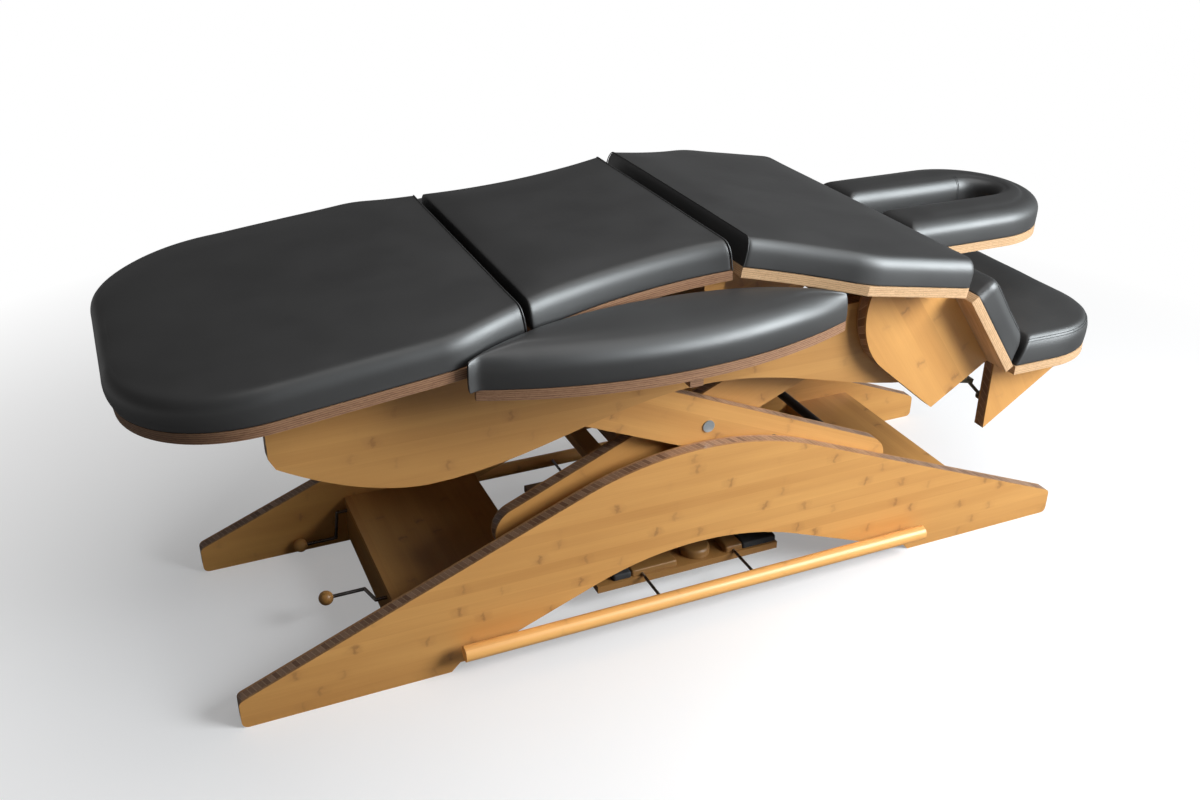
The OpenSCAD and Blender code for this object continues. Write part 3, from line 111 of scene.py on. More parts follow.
def spread(tree, value, low, high, to_low=0.0, to_high=1.0):
    """Carries a range of values to another range, and stops at its ends."""
    given = {"Value": value, "From Min": low, "From Max": high, "To Min": to_low, "To Max": to_high}
    return put(tree, "ShaderNodeMapRange", given).outputs[0]


def new_material(name, **constants):
    """An empty tree with its shader, whose constants sit on the shader's own sockets."""
    material = bpy.data.materials.new(name)
    material.use_nodes = True
    tree = material.node_tree
    tree.nodes.clear()
    shader = put(tree, "ShaderNodeBsdfPrincipled", constants)
    put(tree, "ShaderNodeOutputMaterial", {"Surface": shader.outputs[0]})
    return material, tree, shader


def connect(tree, shader, **sockets):
    """Links sockets to the shader: base, roughness, normal."""
    names = {"base": "Base Color", "roughness": "Roughness", "normal": "Normal"}
    for key, socket in sockets.items():
        tree.links.new(socket, shader.inputs[names[key]])


def noise(tree, vector, scale, detail=2.0, rough=0.5):
    given = {"Vector": vector, "Scale": scale, "Detail": detail, "Roughness": rough}
    return put(tree, "ShaderNodeTexNoise", given).outputs[0]


# %% [markdown]
# The frame is board glued up from bamboo strips. Each strip runs the whole length of a panel,
# has its own tone, and shows a knuckle every hand's breadth or two, where the cane had a joint.
# A picture could be laid on, but a formula follows every panel's own direction. One axis runs
# along the grain, one counts the strips, and one goes through the thickness: on the edges a
# core of short cross blocks lies between two long outer layers.

# %% Bamboo board
CANE = (0.72, 0.375, 0.112, 1)
CANE_DEEP = (0.53, 0.245, 0.064, 1)
CANE_MARK = (0.27, 0.115, 0.038, 1)
STRIP_W = 0.0235
KNUCKLE_PITCH = 0.235
OUTER_LAYER = 0.0048
BLOCK_W = 0.0105


def board_axes(tree, along, across, turn=0.0):
    """Object coordinates turned about Y, and the three numbers along, across and through."""
    place = put(tree, "ShaderNodeTexCoord")
    turned = put(tree, "ShaderNodeMapping", {"Vector": place.outputs["Object"],
                                             "Rotation": (0, turn, 0)}).outputs[0]
    facing = put(tree, "ShaderNodeMapping", {"Vector": place.outputs["Normal"],
                                             "Rotation": (0, turn, 0)}).outputs[0]
    axes = put(tree, "ShaderNodeSeparateXYZ", {0: turned}).outputs
    normal = put(tree, "ShaderNodeSeparateXYZ", {0: facing}).outputs
    through = ({0, 1, 2} - {along, across}).pop()
    return axes[along], axes[across], axes[through], normal[through]


def strip_pattern(tree, u, v, depth, seed):
    """Tone of each strip, its knuckle marks and its fibres.

    A strip's number is the whole part of v over the strip width. The number, with the panel's,
    gives a random tone and a random shift. A knuckle lies where u plus the shift, over the
    pitch, has the fraction one half, bent a little by noise."""
    panel = sums(tree, "FLOOR", sums(tree, "MULTIPLY_ADD", depth, 9.0, seed))
    strip = sums(tree, "FLOOR", sums(tree, "DIVIDE", v, STRIP_W))
    pair = put(tree, "ShaderNodeCombineXYZ", {0: strip, 1: panel}).outputs[0]
    chance = put(tree, "ShaderNodeTexWhiteNoise", {"Vector": pair}, noise_dimensions="3D")
    parts = put(tree, "ShaderNodeSeparateColor", {0: chance.outputs["Color"]}).outputs
    point = put(tree, "ShaderNodeCombineXYZ", {0: u, 1: v, 2: panel}).outputs[0]
    bend = noise(tree, point, 70, 3)
    shifted = sums(tree, "MULTIPLY_ADD", parts[0], 7.0, sums(tree, "DIVIDE", u, KNUCKLE_PITCH))
    bent = sums(tree, "MULTIPLY_ADD", sums(tree, "SUBTRACT", bend, 0.5), 0.11, shifted)
    away = sums(tree, "ABSOLUTE", sums(tree, "SUBTRACT", sums(tree, "FRACT", bent), 0.5))
    line = spread(tree, away, 0.003, 0.030, 1, 0)
    halo = spread(tree, away, 0.0, 0.085, 0.42, 0)
    edge = sums(tree, "ABSOLUTE", sums(tree, "SUBTRACT", sums(tree, "FRACT",
                sums(tree, "DIVIDE", v, STRIP_W)), 0.5))
    inside = spread(tree, edge, 0.28, 0.5, 1, 0.15)
    mark = sums(tree, "MULTIPLY", sums(tree, "MULTIPLY", sums(tree, "MAXIMUM", line, halo), inside),
                spread(tree, parts[1], 0.2, 0.9, 0.1, 1))
    fine = put(tree, "ShaderNodeMapping", {"Vector": point, "Scale": (7, 420, 1)}).outputs[0]
    fibre = noise(tree, fine, 1.0, 4, 0.6)
    broad = put(tree, "ShaderNodeMapping", {"Vector": point, "Scale": (2.2, 26, 1)}).outputs[0]
    cloud = noise(tree, broad, 1.0, 3)
    return parts[2], mark, fibre, cloud


def bamboo(name, along, across, turn=0.0, middle=None, half=None, seed=0.0, shade=1.0):
    """Bamboo board with strips on its faces. Where middle and half give its place and half its
    thickness, its edges show cross blocks between two long layers."""
    material, tree, shader = new_material(name, **{"Coat Weight": 0.12, "Coat Roughness": 0.3,
                                                   "Specular IOR Level": 0.4})
    u, v, w, facing = board_axes(tree, along, across, turn)
    tone, mark, fibre, cloud = strip_pattern(tree, u, v, w, seed)
    depth = sums(tree, "MULTIPLY_ADD", tone, 0.34, sums(tree, "MULTIPLY", fibre, 0.36))
    depth = sums(tree, "ADD", depth, spread(tree, cloud, 0.3, 0.7, -0.12, 0.34))
    # The shade argument scales the cane colours: on most boards it is the board's own tone, and on the
    # beams it is painted shade.
    light = tuple(shade * c for c in CANE[:3]) + (1,)
    deep = tuple(shade * c for c in CANE_DEEP[:3]) + (1,)
    colour = between(tree, depth, light, deep)
    colour = between(tree, sums(tree, "MULTIPLY", mark, 0.62), colour, CANE_MARK)
    if middle is not None:
        blocks = cross_blocks(tree, u, v, w)
        layer = sums(tree, "ABSOLUTE", sums(tree, "SUBTRACT", sums(tree, "ABSOLUTE", w), middle))
        core = spread(tree, layer, half - OUTER_LAYER - 0.0004, half - OUTER_LAYER + 0.0004, 1, 0)
        sideways = spread(tree, sums(tree, "ABSOLUTE", facing), 0.45, 0.6, 1, 0)
        long_edge = between(tree, spread(tree, fibre, 0.3, 0.7), (0.52, 0.29, 0.13, 1),
                            (0.36, 0.175, 0.07, 1))
        colour = between(tree, sideways, colour, between(tree, core, long_edge, blocks))
    rough = spread(tree, fibre, 0.3, 0.7, 0.36, 0.5)
    height = sums(tree, "MULTIPLY_ADD", mark, -0.4, fibre)
    bump = put(tree, "ShaderNodeBump", {"Strength": 0.12, "Distance": 0.0006, "Height": height})
    connect(tree, shader, base=colour, roughness=rough, normal=bump.outputs[0])
    return material


def cross_blocks(tree, u, v, w):
    """End grain of the core: slanting blocks along the edge, each with its own tone, fine pores
    and a pale glue line."""
    run = sums(tree, "ADD", sums(tree, "ADD", u, sums(tree, "MULTIPLY", v, 0.5)),
               sums(tree, "MULTIPLY", w, 0.38))
    cell = sums(tree, "DIVIDE", run, BLOCK_W)
    number = sums(tree, "FLOOR", cell)
    chance = put(tree, "ShaderNodeTexWhiteNoise", {"W": number}, noise_dimensions="1D")
    join = sums(tree, "ABSOLUTE", sums(tree, "SUBTRACT", sums(tree, "FRACT", cell), 0.5))
    glue = spread(tree, join, 0.40, 0.48)
    point = put(tree, "ShaderNodeCombineXYZ", {0: run, 1: w}).outputs[0]
    pores = noise(tree, put(tree, "ShaderNodeMapping", {"Vector": point,
                  "Scale": (900, 260, 1)}).outputs[0], 1.0, 2)
    tone = between(tree, chance.outputs["Value"], (0.21, 0.108, 0.060, 1), (0.47, 0.285, 0.18, 1))
    tone = between(tree, spread(tree, pores, 0.35, 0.75, 0, 0.5), tone, (0.10, 0.05, 0.03, 1))
    return between(tree, sums(tree, "MULTIPLY", glue, 0.65), tone, (0.60, 0.42, 0.27, 1))


def paint(material, *names):
    """Gives a CAD piece its finish and leaves its mesh as it is."""
    for name in names:
        slots = nodes[name].material_slots
        for slot in slots:
            slot.material = material
        if not slots:
            nodes[name].data.materials.append(material)


ARM_ANGLE = radians(23)
PANEL = (0.248, 0.014)
OUTER_ARM = (0.2175, 0.013)
INNER_ARM = (0.1885, 0.013)
SECTOR = (0.279, 0.015)
GUSSET = (0.279, 0.013)
paint(bamboo("bamboo_side_panel", 0, 2, 0, *PANEL), "base_panel_near", "base_panel_far")
# The beams' cane colours are scaled by 0.82. This is painted shade for the shadow that the cushions
# and wings cast on them.
paint(bamboo("bamboo_beam_painted_shade", 0, 2, 0, *PANEL, 6.4, 0.82), "beam_near", "beam_far")
paint(bamboo("bamboo_outer_arm", 0, 2, -ARM_ANGLE, *OUTER_ARM, 3.3), "arm_outer_near", "arm_outer_far")
paint(bamboo("bamboo_inner_arm", 0, 2, ARM_ANGLE, *INNER_ARM, 5.6, 0.85),
      "arm_inner_near", "arm_inner_far")
paint(bamboo("bamboo_sector", 0, 2, radians(125), *SECTOR, 7.1, 1.06), "sector_near", "sector_far")
paint(bamboo("bamboo_gusset", 0, 2, radians(-60), *GUSSET, 2.2, 1.04), "forearm_gussets")
paint(bamboo("bamboo_box_top", 1, 0, 0, None, None, 4.4, 0.92), "box_tops")
paint(bamboo("bamboo_box_board", 1, 2, 0, None, None, 1.7, 0.72), "box_boards", "base_stretchers",
      "inner_cross_rail")
paint(bamboo("bamboo_rails", 1, 2, 0, None, None, 6.2, 0.8), "cross_rails")
paint(bamboo("bamboo_foot_bar", 0, 2, 0, None, None, 8.8, 1.34), "foot_bars")
paint(bamboo("bamboo_treadle", 0, 1, 0, None, None, 9.1, 0.5), "treadle_board")

# %% [markdown]
# The boards under the cushions are plywood, and plywood shows itself at the edge: thin veneers
# whose grain runs by turns along the edge, which looks pale and smooth, and out of it, which
# looks dark and open. The layer's number comes from the height through the board, so the
# pattern is tilted with each board. The boards at the head end are paler.

# %% Plywood
VENEER = 0.0017


def plywood(name, turn, origin, light, dark):
    """Layers of veneer on the edges, and a rotary grain on the faces.

    The layer is the height over the veneer's thickness, its parity gives the grain's
    direction, and streaks run along the edge."""
    material, tree, shader = new_material(name, **{"Coat Weight": 0.08, "Coat Roughness": 0.35,
                                                   "Specular IOR Level": 0.35})
    u, v, w, facing = board_axes(tree, 0, 1, turn)
    point = put(tree, "ShaderNodeCombineXYZ", {0: u, 1: v, 2: w}).outputs[0]
    waver = noise(tree, point, 14, 2)
    height = sums(tree, "MULTIPLY_ADD", sums(tree, "SUBTRACT", waver, 0.5), 0.0009,
                  sums(tree, "SUBTRACT", w, origin))
    layer = sums(tree, "DIVIDE", height, VENEER)
    parity = sums(tree, "PINGPONG", layer, 1.0)
    number = sums(tree, "FLOOR", layer)
    chance = put(tree, "ShaderNodeTexWhiteNoise", {"W": number}, noise_dimensions="1D")
    streaks = put(tree, "ShaderNodeMapping", {"Vector": point, "Scale": (95, 95, 900)}).outputs[0]
    streak = noise(tree, streaks, 1.0, 3, 0.65)
    pores = noise(tree, put(tree, "ShaderNodeMapping", {"Vector": point,
                  "Scale": (420, 420, 500)}).outputs[0], 1.0, 2)
    depth = sums(tree, "MULTIPLY_ADD", spread(tree, parity, 0.25, 0.75), 0.5,
                 sums(tree, "MULTIPLY", chance.outputs["Value"], 0.25))
    depth = sums(tree, "ADD", depth, spread(tree, streak, 0.35, 0.7, -0.15, 0.4))
    edge = between(tree, depth, light, dark)
    edge = between(tree, spread(tree, pores, 0.55, 0.75, 0, 0.35), edge, (0.10, 0.05, 0.03, 1))
    grain = noise(tree, put(tree, "ShaderNodeMapping", {"Vector": point,
                  "Scale": (6, 55, 10)}).outputs[0], 1.0, 4, 0.6)
    veneer = between(tree, spread(tree, grain, 0.3, 0.7), light, dark)
    flat = spread(tree, sums(tree, "ABSOLUTE", facing), 0.6, 0.8)
    colour = between(tree, flat, edge, veneer)
    bump = put(tree, "ShaderNodeBump", {"Strength": 0.15, "Distance": 0.0005, "Height": streak})
    connect(tree, shader, base=colour, roughness=spread(tree, streak, 0.3, 0.7, 0.42, 0.58),
            normal=bump.outputs[0])
    return material


LEG_TILT = radians(6.4)
THORAX_TILT = radians(10)
SHOULDER_TILT = radians(55.2)
WING_BOARD_Z = 0.603
CRADLE_BOARD_Z = 0.619
BROWN = ((0.42, 0.235, 0.13, 1), (0.165, 0.075, 0.038, 1))
PALE = ((0.74, 0.50, 0.285, 1), (0.45, 0.255, 0.12, 1))
paint(plywood("plywood_leg", LEG_TILT, 0, *BROWN), "leg_board", "mid_board")
paint(plywood("plywood_wing", 0, WING_BOARD_Z, *BROWN), "wing_board_near", "wing_board_far")
paint(plywood("plywood_thorax", -THORAX_TILT, 0, *PALE), "thorax_board")
paint(plywood("plywood_shoulder", -SHOULDER_TILT, 0, *PALE), "shoulder_board")
paint(plywood("plywood_cradle", 0, CRADLE_BOARD_Z, *PALE), "cradle_board", "forearm_board")

# %% [markdown]
# The metal is dark and polished by use on the rods, zinc plated on the bolts, and powder coated
# on the brackets. Rubber and moulded housings are dull, with a fine broken surface. Each of
# these is one colour to the eye, and what makes it real is how its roughness wanders.

# %% Metal, rubber and moulded parts
def worn(name, base, other, scale, rough, height, metallic=0.0, **constants):
    """A finish whose colour goes between two close tones, with a wandering roughness and a
    small relief, all from noise on Object coordinates."""
    material, tree, shader = new_material(name, **{"Metallic": metallic, **constants})
    place = put(tree, "ShaderNodeTexCoord").outputs["Object"]
    patches = noise(tree, place, scale, 4, 0.6)
    grain = noise(tree, place, scale * 40, 2)
    colour = between(tree, spread(tree, patches, 0.35, 0.65), base, other)
    given = {"Strength": height, "Distance": 0.0004, "Height": grain}
    bump = put(tree, "ShaderNodeBump", given)
    connect(tree, shader, base=colour, roughness=spread(tree, patches, 0.3, 0.7, *rough),
            normal=bump.outputs[0])
    return material


rod_steel = worn("polished_dark_steel", (0.17, 0.15, 0.14, 1), (0.26, 0.24, 0.23, 1), 30,
                 (0.22, 0.36), 0.03, 1.0)
coated_steel = worn("coated_steel", (0.030, 0.030, 0.032, 1), (0.045, 0.045, 0.047, 1), 18,
                    (0.42, 0.55), 0.12)
zinc = worn("zinc_plate", (0.55, 0.60, 0.62, 1), (0.42, 0.47, 0.50, 1), 45, (0.25, 0.42), 0.05, 1.0)
black_rubber = worn("black_rubber", (0.012, 0.012, 0.013, 1), (0.022, 0.022, 0.023, 1), 25,
                    (0.7, 0.85), 0.3)
moulding = worn("moulded_housing", (0.014, 0.014, 0.015, 1), (0.020, 0.020, 0.022, 1), 22,
                (0.5, 0.62), 0.25)
lever_paint = worn("olive_lever_paint", (0.050, 0.040, 0.020, 1), (0.068, 0.054, 0.027, 1), 26,
                   (0.34, 0.46), 0.06)
turned_wood = bamboo("turned_ball_wood", 0, 2, radians(20), None, None, 3.9, 0.9)
paint(coated_steel, "base_brackets", "lower_pivot_shaft", "torque_bar", "frame_shafts", "frame_hinges",
      "leg_hinge_lugs", "mid_hinge_lugs", "forearm_hinge", "forearm_leaf")
paint(rod_steel, "treadle_rods", "crank_rod_near", "crank_rod_far")
paint(zinc, "centre_bolts", "actuator_rod", "cradle_rods")
paint(black_rubber, "upper_rollers", "lower_rollers", "rest_stops", "treadle_pads",
      "castor_wheel_near", "castor_wheel_far")
paint(moulding, "actuator_housing")
paint(lever_paint, "release_lever")
paint(turned_wood, "crank_ball_near", "crank_ball_far")
paint(bamboo("bamboo_socket", 0, 1, 0, None, None, 1.2, 0.9), "cradle_socket")

# %% [markdown]
# The hide is smooth, tight and nearly black, with a satin shine. Its grain is so fine that it
# only softens the highlights. So the base is dark and a little uneven, the shine is low and
# broad, and two reliefs are added: cells of about a millimetre, and slow waves in the foam.

# %% Hide
def hide_material():
    """Dark satin hide: cells from Voronoi distance, waves from noise."""
    material, tree, shader = new_material("dark_satin_hide", **{"Specular IOR Level": 0.95})
    place = put(tree, "ShaderNodeTexCoord").outputs["Object"]
    cells = put(tree, "ShaderNodeTexVoronoi", {"Vector": place, "Scale": 850.0}).outputs["Distance"]
    waves = noise(tree, place, 9, 2)
    tone = between(tree, spread(tree, waves, 0.3, 0.7), (0.0074, 0.0066, 0.0064, 1),
                   (0.0102, 0.0092, 0.0088, 1))
    fine = put(tree, "ShaderNodeBump", {"Strength": 0.10, "Distance": 0.00025, "Height": cells})
    slow = put(tree, "ShaderNodeBump", {"Strength": 0.06, "Distance": 0.004, "Height": waves,
                                        "Normal": fine.outputs[0]})
    connect(tree, shader, base=tone, roughness=spread(tree, waves, 0.3, 0.7, 0.50, 0.56),
            normal=slow.outputs[0])
    return material


hide = hide_material()
thread = worn("dark_thread", (0.020, 0.020, 0.021, 1), (0.035, 0.035, 0.036, 1), 90, (0.6, 0.75), 0.3)
print("materials", len(bpy.data.materials))

# %% [markdown]
# A cushion here is a slab of foam glued to its board, under a cover pulled tight and stapled
# below. Its outline is given by columns, pairs of points on its two long edges. A ring is that
# outline at one level: low down it swells out a little, and from the middle up it is drawn in
# like a quarter circle. Rings make the walls, and straight rows between the two edges make the
# top and the underside. The walls are kept as a grid, so a seam can follow a known row of it.

# %% Cushion surface
LEVELS = np.array([0, 0.06, 0.16, 0.29, 0.42, 0.54, 0.64, 0.74, 0.82, 0.89, 0.945, 0.98, 1.0])
SWELL_TOP = 0.45
ROLL_START = 0.54


def drawn_in(level, roll, out):
    """How far a wall is drawn in at a level: over the lower part it swells out along a parabola,
    and from just over half the height it also follows a quarter circle in to the top."""
    swell = 1 - np.clip(1 - level / SWELL_TOP, 0, 1) ** 2
    rise = np.clip((level - ROLL_START) / (1 - ROLL_START), 0, 1)
    return roll * (1 - np.sqrt(1 - rise ** 2)) - out * swell


def straight(start, stop, count):
    """Points spaced evenly on the line between two points."""
    return np.linspace(0, 1, count)[:, None] * (stop - start) + start


def closed_ring(near, far, across):
    """The outline of one level: along the near edge, over the head end, back along the far
    edge, and over the foot end."""
    head = straight(near[-1], far[-1], across + 1)[1:-1]
    foot = straight(far[0], near[0], across + 1)[1:-1]
    return np.vstack([near, head, far[::-1], foot])


def quads(rows, columns, start=0, loop=False):
    """Faces of a grid of points whose index is row times columns plus column."""
    index = start + np.arange(rows * columns).reshape(rows, columns)
    right_side = np.roll(index, -1, axis=1) if loop else index[:, 1:]
    left_side = index if loop else index[:, :-1]
    faces = [left_side[:-1], right_side[:-1], right_side[1:], left_side[1:]]
    return np.stack(faces, axis=-1).reshape(-1, 4)


def cushion_points(ring_of, thickness, crown, across):
    """Points of walls, top and underside. ring_of(level) gives the near and far points.

    Top: straight rows from near to far at full height less the crown, plus the crown times
    one minus the third power of the distance from the middle line, faded at both ends."""
    levels = [closed_ring(*ring_of(level), across) for level in LEVELS]
    heights = LEVELS * (thickness - crown)
    walls = np.stack([np.column_stack([r, np.full(len(r), z)]) for r, z in zip(levels, heights)])
    share = np.linspace(0, 1, across + 1)[None, :, None]
    near, far = ring_of(1.0)
    top = near[:, None] * (1 - share) + far[:, None] * share
    along = np.linspace(-1, 1, len(near))[:, None]
    dome = (1 - np.abs(2 * share[..., 0] - 1) ** 3) * (1 - np.abs(along) ** 5)
    top = np.concatenate([top, (thickness - crown + crown * dome)[..., None]], axis=-1)
    near, far = ring_of(0.0)
    under = near[:, None] * (1 - share) + far[:, None] * share
    under = np.concatenate([under, np.zeros(under.shape[:2] + (1,))], axis=-1)
    return walls, top, under


def coordinates(made):
    """A mesh's points as rows of x, y and z."""
    points = np.empty(len(made.data.vertices) * 3, np.float32)
    made.data.vertices.foreach_get("co", points)
    return points.reshape(-1, 3).astype(float)


def set_coordinates(made, points):
    made.data.vertices.foreach_set("co", points.astype(np.float32).ravel())
    made.data.update()


grids = {}


def build_mesh(name, points, faces, caps=(), merge=2e-5):
    """A mesh from arrays, with meeting points merged and its faces turned outwards."""
    mesh = bpy.data.meshes.new(name)
    mesh.from_pydata(points.tolist(), [], faces.tolist() + list(caps))
    made = bpy.data.objects.new(name, mesh)
    bpy.context.scene.collection.objects.link(made)
    work = bmesh.new()
    work.from_mesh(mesh)
    bmesh.ops.remove_doubles(work, verts=work.verts, dist=merge)
    bmesh.ops.recalc_face_normals(work, faces=work.faces)
    work.to_mesh(mesh)
    work.free()
    mesh.polygons.foreach_set("use_smooth", np.ones(len(mesh.polygons), bool))
    return made


def cushion(name, ring_of, thickness, crown=0.003, across=60):
    """A cushion in its own flat frame, its underside at height zero."""
    walls, top, under = cushion_points(ring_of, thickness, crown, across)
    grids[name] = walls
    points = np.vstack([walls.reshape(-1, 3), top.reshape(-1, 3), under.reshape(-1, 3)])
    first, second = walls.shape[0] * walls.shape[1], top.shape[0] * top.shape[1]
    faces = np.vstack([quads(*walls.shape[:2], 0, True), quads(*top.shape[:2], first),
                       quads(*under.shape[:2], first + second)])
    made = build_mesh(name, points, faces)
    print(name, len(made.data.vertices), "points")
    return made


# %% [markdown]
# The eight outlines use the same sizes as the model: the waist is a circle of 779 mm whose
# centre lies outside the table, the foot end has corners of 218 mm, and so on. The rolls differ
# by side. The long sides are rolled over softly, the ends that face another cushion are tighter.

# %% Outlines
FOAM = 0.050
WAIST_R = 0.779
WAIST_Y = 1.051
WAIST_X = -0.1747
WAIST_X_THORAX = -0.1763
EVENED = 0.03
LEG_WIDE = 0.361
THORAX_WIDE = 0.372
HEAD_WIDE = 0.351
FOOT_CORNER = 0.218
THORAX_CORNER = 0.013
FOREARM_CORNER = 0.160
SHOULDER_CORNER = 0.014
SHOULDER_LONG = 0.198
WING_OUTER_R = 0.856
NOTCH_WIDE = 0.176
NOTCH_DEEP = 0.060
NOTCH_CORNER = 0.008
CRADLE_FOOT = 0.538
CRADLE_OUT = (0.771, 0.167)
CRADLE_IN = (0.815, 0.050)
LONG_END = 76
MID_END = 70
SHOULDER_END = 22


def waisted(x, half, middle):
    """The smaller of the section's half-width and the waist circle's, with the bend between
    them evened by a running mean over 30 mm each way, as a cover does."""
    fine = np.linspace(x[0] - EVENED, x[-1] + EVENED, 600)
    deep = np.clip(WAIST_R ** 2 - (fine - middle) ** 2, 0, None)
    sharp = np.minimum(half, WAIST_Y - np.sqrt(deep))
    reach = int(EVENED / (fine[1] - fine[0]))
    window_share = np.ones(2 * reach + 1) / (2 * reach + 1)
    soft = np.convolve(np.pad(sharp, reach, mode="edge"), window_share, "valid")
    return np.interp(x, fine, np.minimum(soft, half))


def symmetric(x, half, rolls, outs, widest=None):
    """A ring function for an outline symmetric about the middle. rolls and outs are those of
    the sides, the foot end and the head end."""
    widest = widest or half.max()

    def ring_of(level):
        """Moves every column in by each edge's amount, x by its place and y by its width."""
        side, foot, head = (drawn_in(level, roll, out) for roll, out in zip(rolls, outs))
        place = (x - x[0]) / (x[-1] - x[0])
        moved = x + foot * (1 - place) - head * place
        width = half * (1 - side / widest)
        return np.column_stack([moved, -width]), np.column_stack([moved, width])
    return ring_of


def rounded_to(start, radius, half, count, outward):
    """Columns round a corner of this radius at the end at start, from its tip inwards."""
    angle = np.linspace(0, pi / 2, count)
    return start + outward * radius * (1 - np.cos(angle)), half - radius * (1 - np.sin(angle))


corner_x, corner_half = rounded_to(-1.045, FOOT_CORNER, LEG_WIDE, 22, 1)
run_x = np.linspace(-0.827, -0.421, 52)[1:]
leg_x = np.concatenate([corner_x, run_x])
leg_half = np.concatenate([corner_half, waisted(run_x, LEG_WIDE, WAIST_X)])
mid_x = np.linspace(-0.409, -0.035, 48)
mid_half = waisted(mid_x, LEG_WIDE, WAIST_X)
end_angle = np.linspace(0, pi / 2, 6)[1:]
thorax_x = np.concatenate([np.linspace(-0.004, 0.422, 54), 0.422 + THORAX_CORNER * np.sin(end_angle)])
thorax_half = np.concatenate([waisted(thorax_x[:54], THORAX_WIDE, WAIST_X_THORAX),
                              THORAX_WIDE - THORAX_CORNER * (1 - np.cos(end_angle))])
tip_angle = np.linspace(0, pi / 2, 18)[1:]
forearm_x = np.concatenate([np.linspace(0.676, 0.778, 14), 0.778 + FOREARM_CORNER * np.sin(tip_angle)])
forearm_half = np.concatenate([np.full(14, HEAD_WIDE),
                               HEAD_WIDE - FOREARM_CORNER * (1 - np.cos(tip_angle))])


def wing_ring(side):
    """A crescent between two circles: the inner one clears the waist, the outer one is 856 mm.
    Its edge is drawn in by 4 mm inside and 40 mm outside, less where the crescent is narrow."""
    x = np.linspace(-0.432, 0.254, 78)
    inner, outer = wing_edges(x)

    def ring_of(level):
        place = (x - x[0]) / (x[-1] - x[0])
        moved = x + drawn_in(level, 0.002, 0.002) * (1 - 2 * place)
        room = np.clip((outer - inner) / 0.07, 0, 1)
        a = inner + drawn_in(level, 0.004, -0.002) * room
        b = outer - drawn_in(level, 0.040, 0.003) * room
        low, high = (a, b) if side > 0 else (-b, -a)
        return np.column_stack([moved, low]), np.column_stack([moved, high])
    return ring_of


def wing_edges(x):
    """How far a wing's inner and outer edges are from the middle plane at x."""
    inner = WAIST_Y - np.sqrt((WAIST_R - 0.010) ** 2 - (x + 0.075) ** 2)
    outer = -0.419 + np.sqrt(WING_OUTER_R ** 2 - np.clip(x + 0.088, -0.33, 0.34) ** 2)
    return inner, np.maximum(outer, inner + 0.009)


def raise_wing(made):
    """Multiplies heights by 1 + 0.34 (1 - |u|^5), with u from -1 at one tip to 1 at the other,
    and lets the top fall by a tenth from the inner edge to the outer one."""
    points = coordinates(made)
    x = points[:, 0]
    u = (2 * x - x.max() - x.min()) / (x.max() - x.min())
    inner, outer = wing_edges(x)
    out = np.clip((np.abs(points[:, 1]) - inner) / (outer - inner), 0, 1)
    points[:, 2] *= (1 + 0.34 * (1 - np.abs(u) ** 5)) * (1 - 0.10 * out)
    set_coordinates(made, points)


def cradle_ring(level):
    """A U about the face: the outer arc has a radius of 167 mm, the inner one of 50 mm, and
    both are carried on as straight arms towards the chest."""
    (out_x, out_r), (in_x, in_r) = CRADLE_OUT, CRADLE_IN
    out_r -= drawn_in(level, 0.036, 0.001)
    in_r += drawn_in(level, 0.020, 0.002)
    turn = np.linspace(-pi / 2, pi / 2, 44)
    run = np.linspace(0, 1, 22)[:-1]
    foot = CRADLE_FOOT + drawn_in(level, 0.024, 0.001) * (1 - run)
    outer_arm = np.column_stack([foot + (out_x - CRADLE_FOOT) * run, np.full(21, -out_r)])
    inner_arm = np.column_stack([foot + (in_x - CRADLE_FOOT) * run, np.full(21, -in_r)])
    outer_arc = np.column_stack([out_x + out_r * np.cos(turn), out_r * np.sin(turn)])
    inner_arc = np.column_stack([in_x + in_r * np.cos(turn), in_r * np.sin(turn)])
    mirror = np.array([1, -1])
    outer = np.vstack([outer_arm, outer_arc, outer_arm[::-1] * mirror])
    inner = np.vstack([inner_arm, inner_arc, inner_arm[::-1] * mirror])
    return outer, inner


def shoulder_ring(level):
    """Columns down the slope, side by side across the table, with the notch for the cradle."""
    inset = drawn_in(level, 0.015, -0.001)
    half = HEAD_WIDE - inset
    edge = NOTCH_WIDE + inset
    stops = (half, half - SHOULDER_CORNER, edge + NOTCH_CORNER, edge, 0)
    counts = (6, 14, 7, 16)
    runs = [np.linspace(*ends, n)[1:] for *ends, n in zip(stops, stops[1:], counts)]
    bend = np.concatenate([[half]] + runs)
    y = np.concatenate([-bend, bend[::-1][1:]])
    corner = np.clip(np.abs(y) - half + SHOULDER_CORNER, 0, SHOULDER_CORNER)
    drop = SHOULDER_CORNER - np.sqrt(SHOULDER_CORNER ** 2 - corner ** 2)
    depth = NOTCH_DEEP * np.clip((edge + NOTCH_CORNER - np.abs(y)) / NOTCH_CORNER, 0, 1)
    return (np.column_stack([np.full(len(y), SHOULDER_LONG) - inset - drop, y]),
            np.column_stack([depth + inset + drop, y]))


def even_pad(name, x, half, rolls, outs, thickness=0.0555, widest=None, across=LONG_END):
    """A cushion that is symmetric about the middle."""
    return cushion(name, symmetric(x, half, rolls, outs, widest), thickness, across=across)


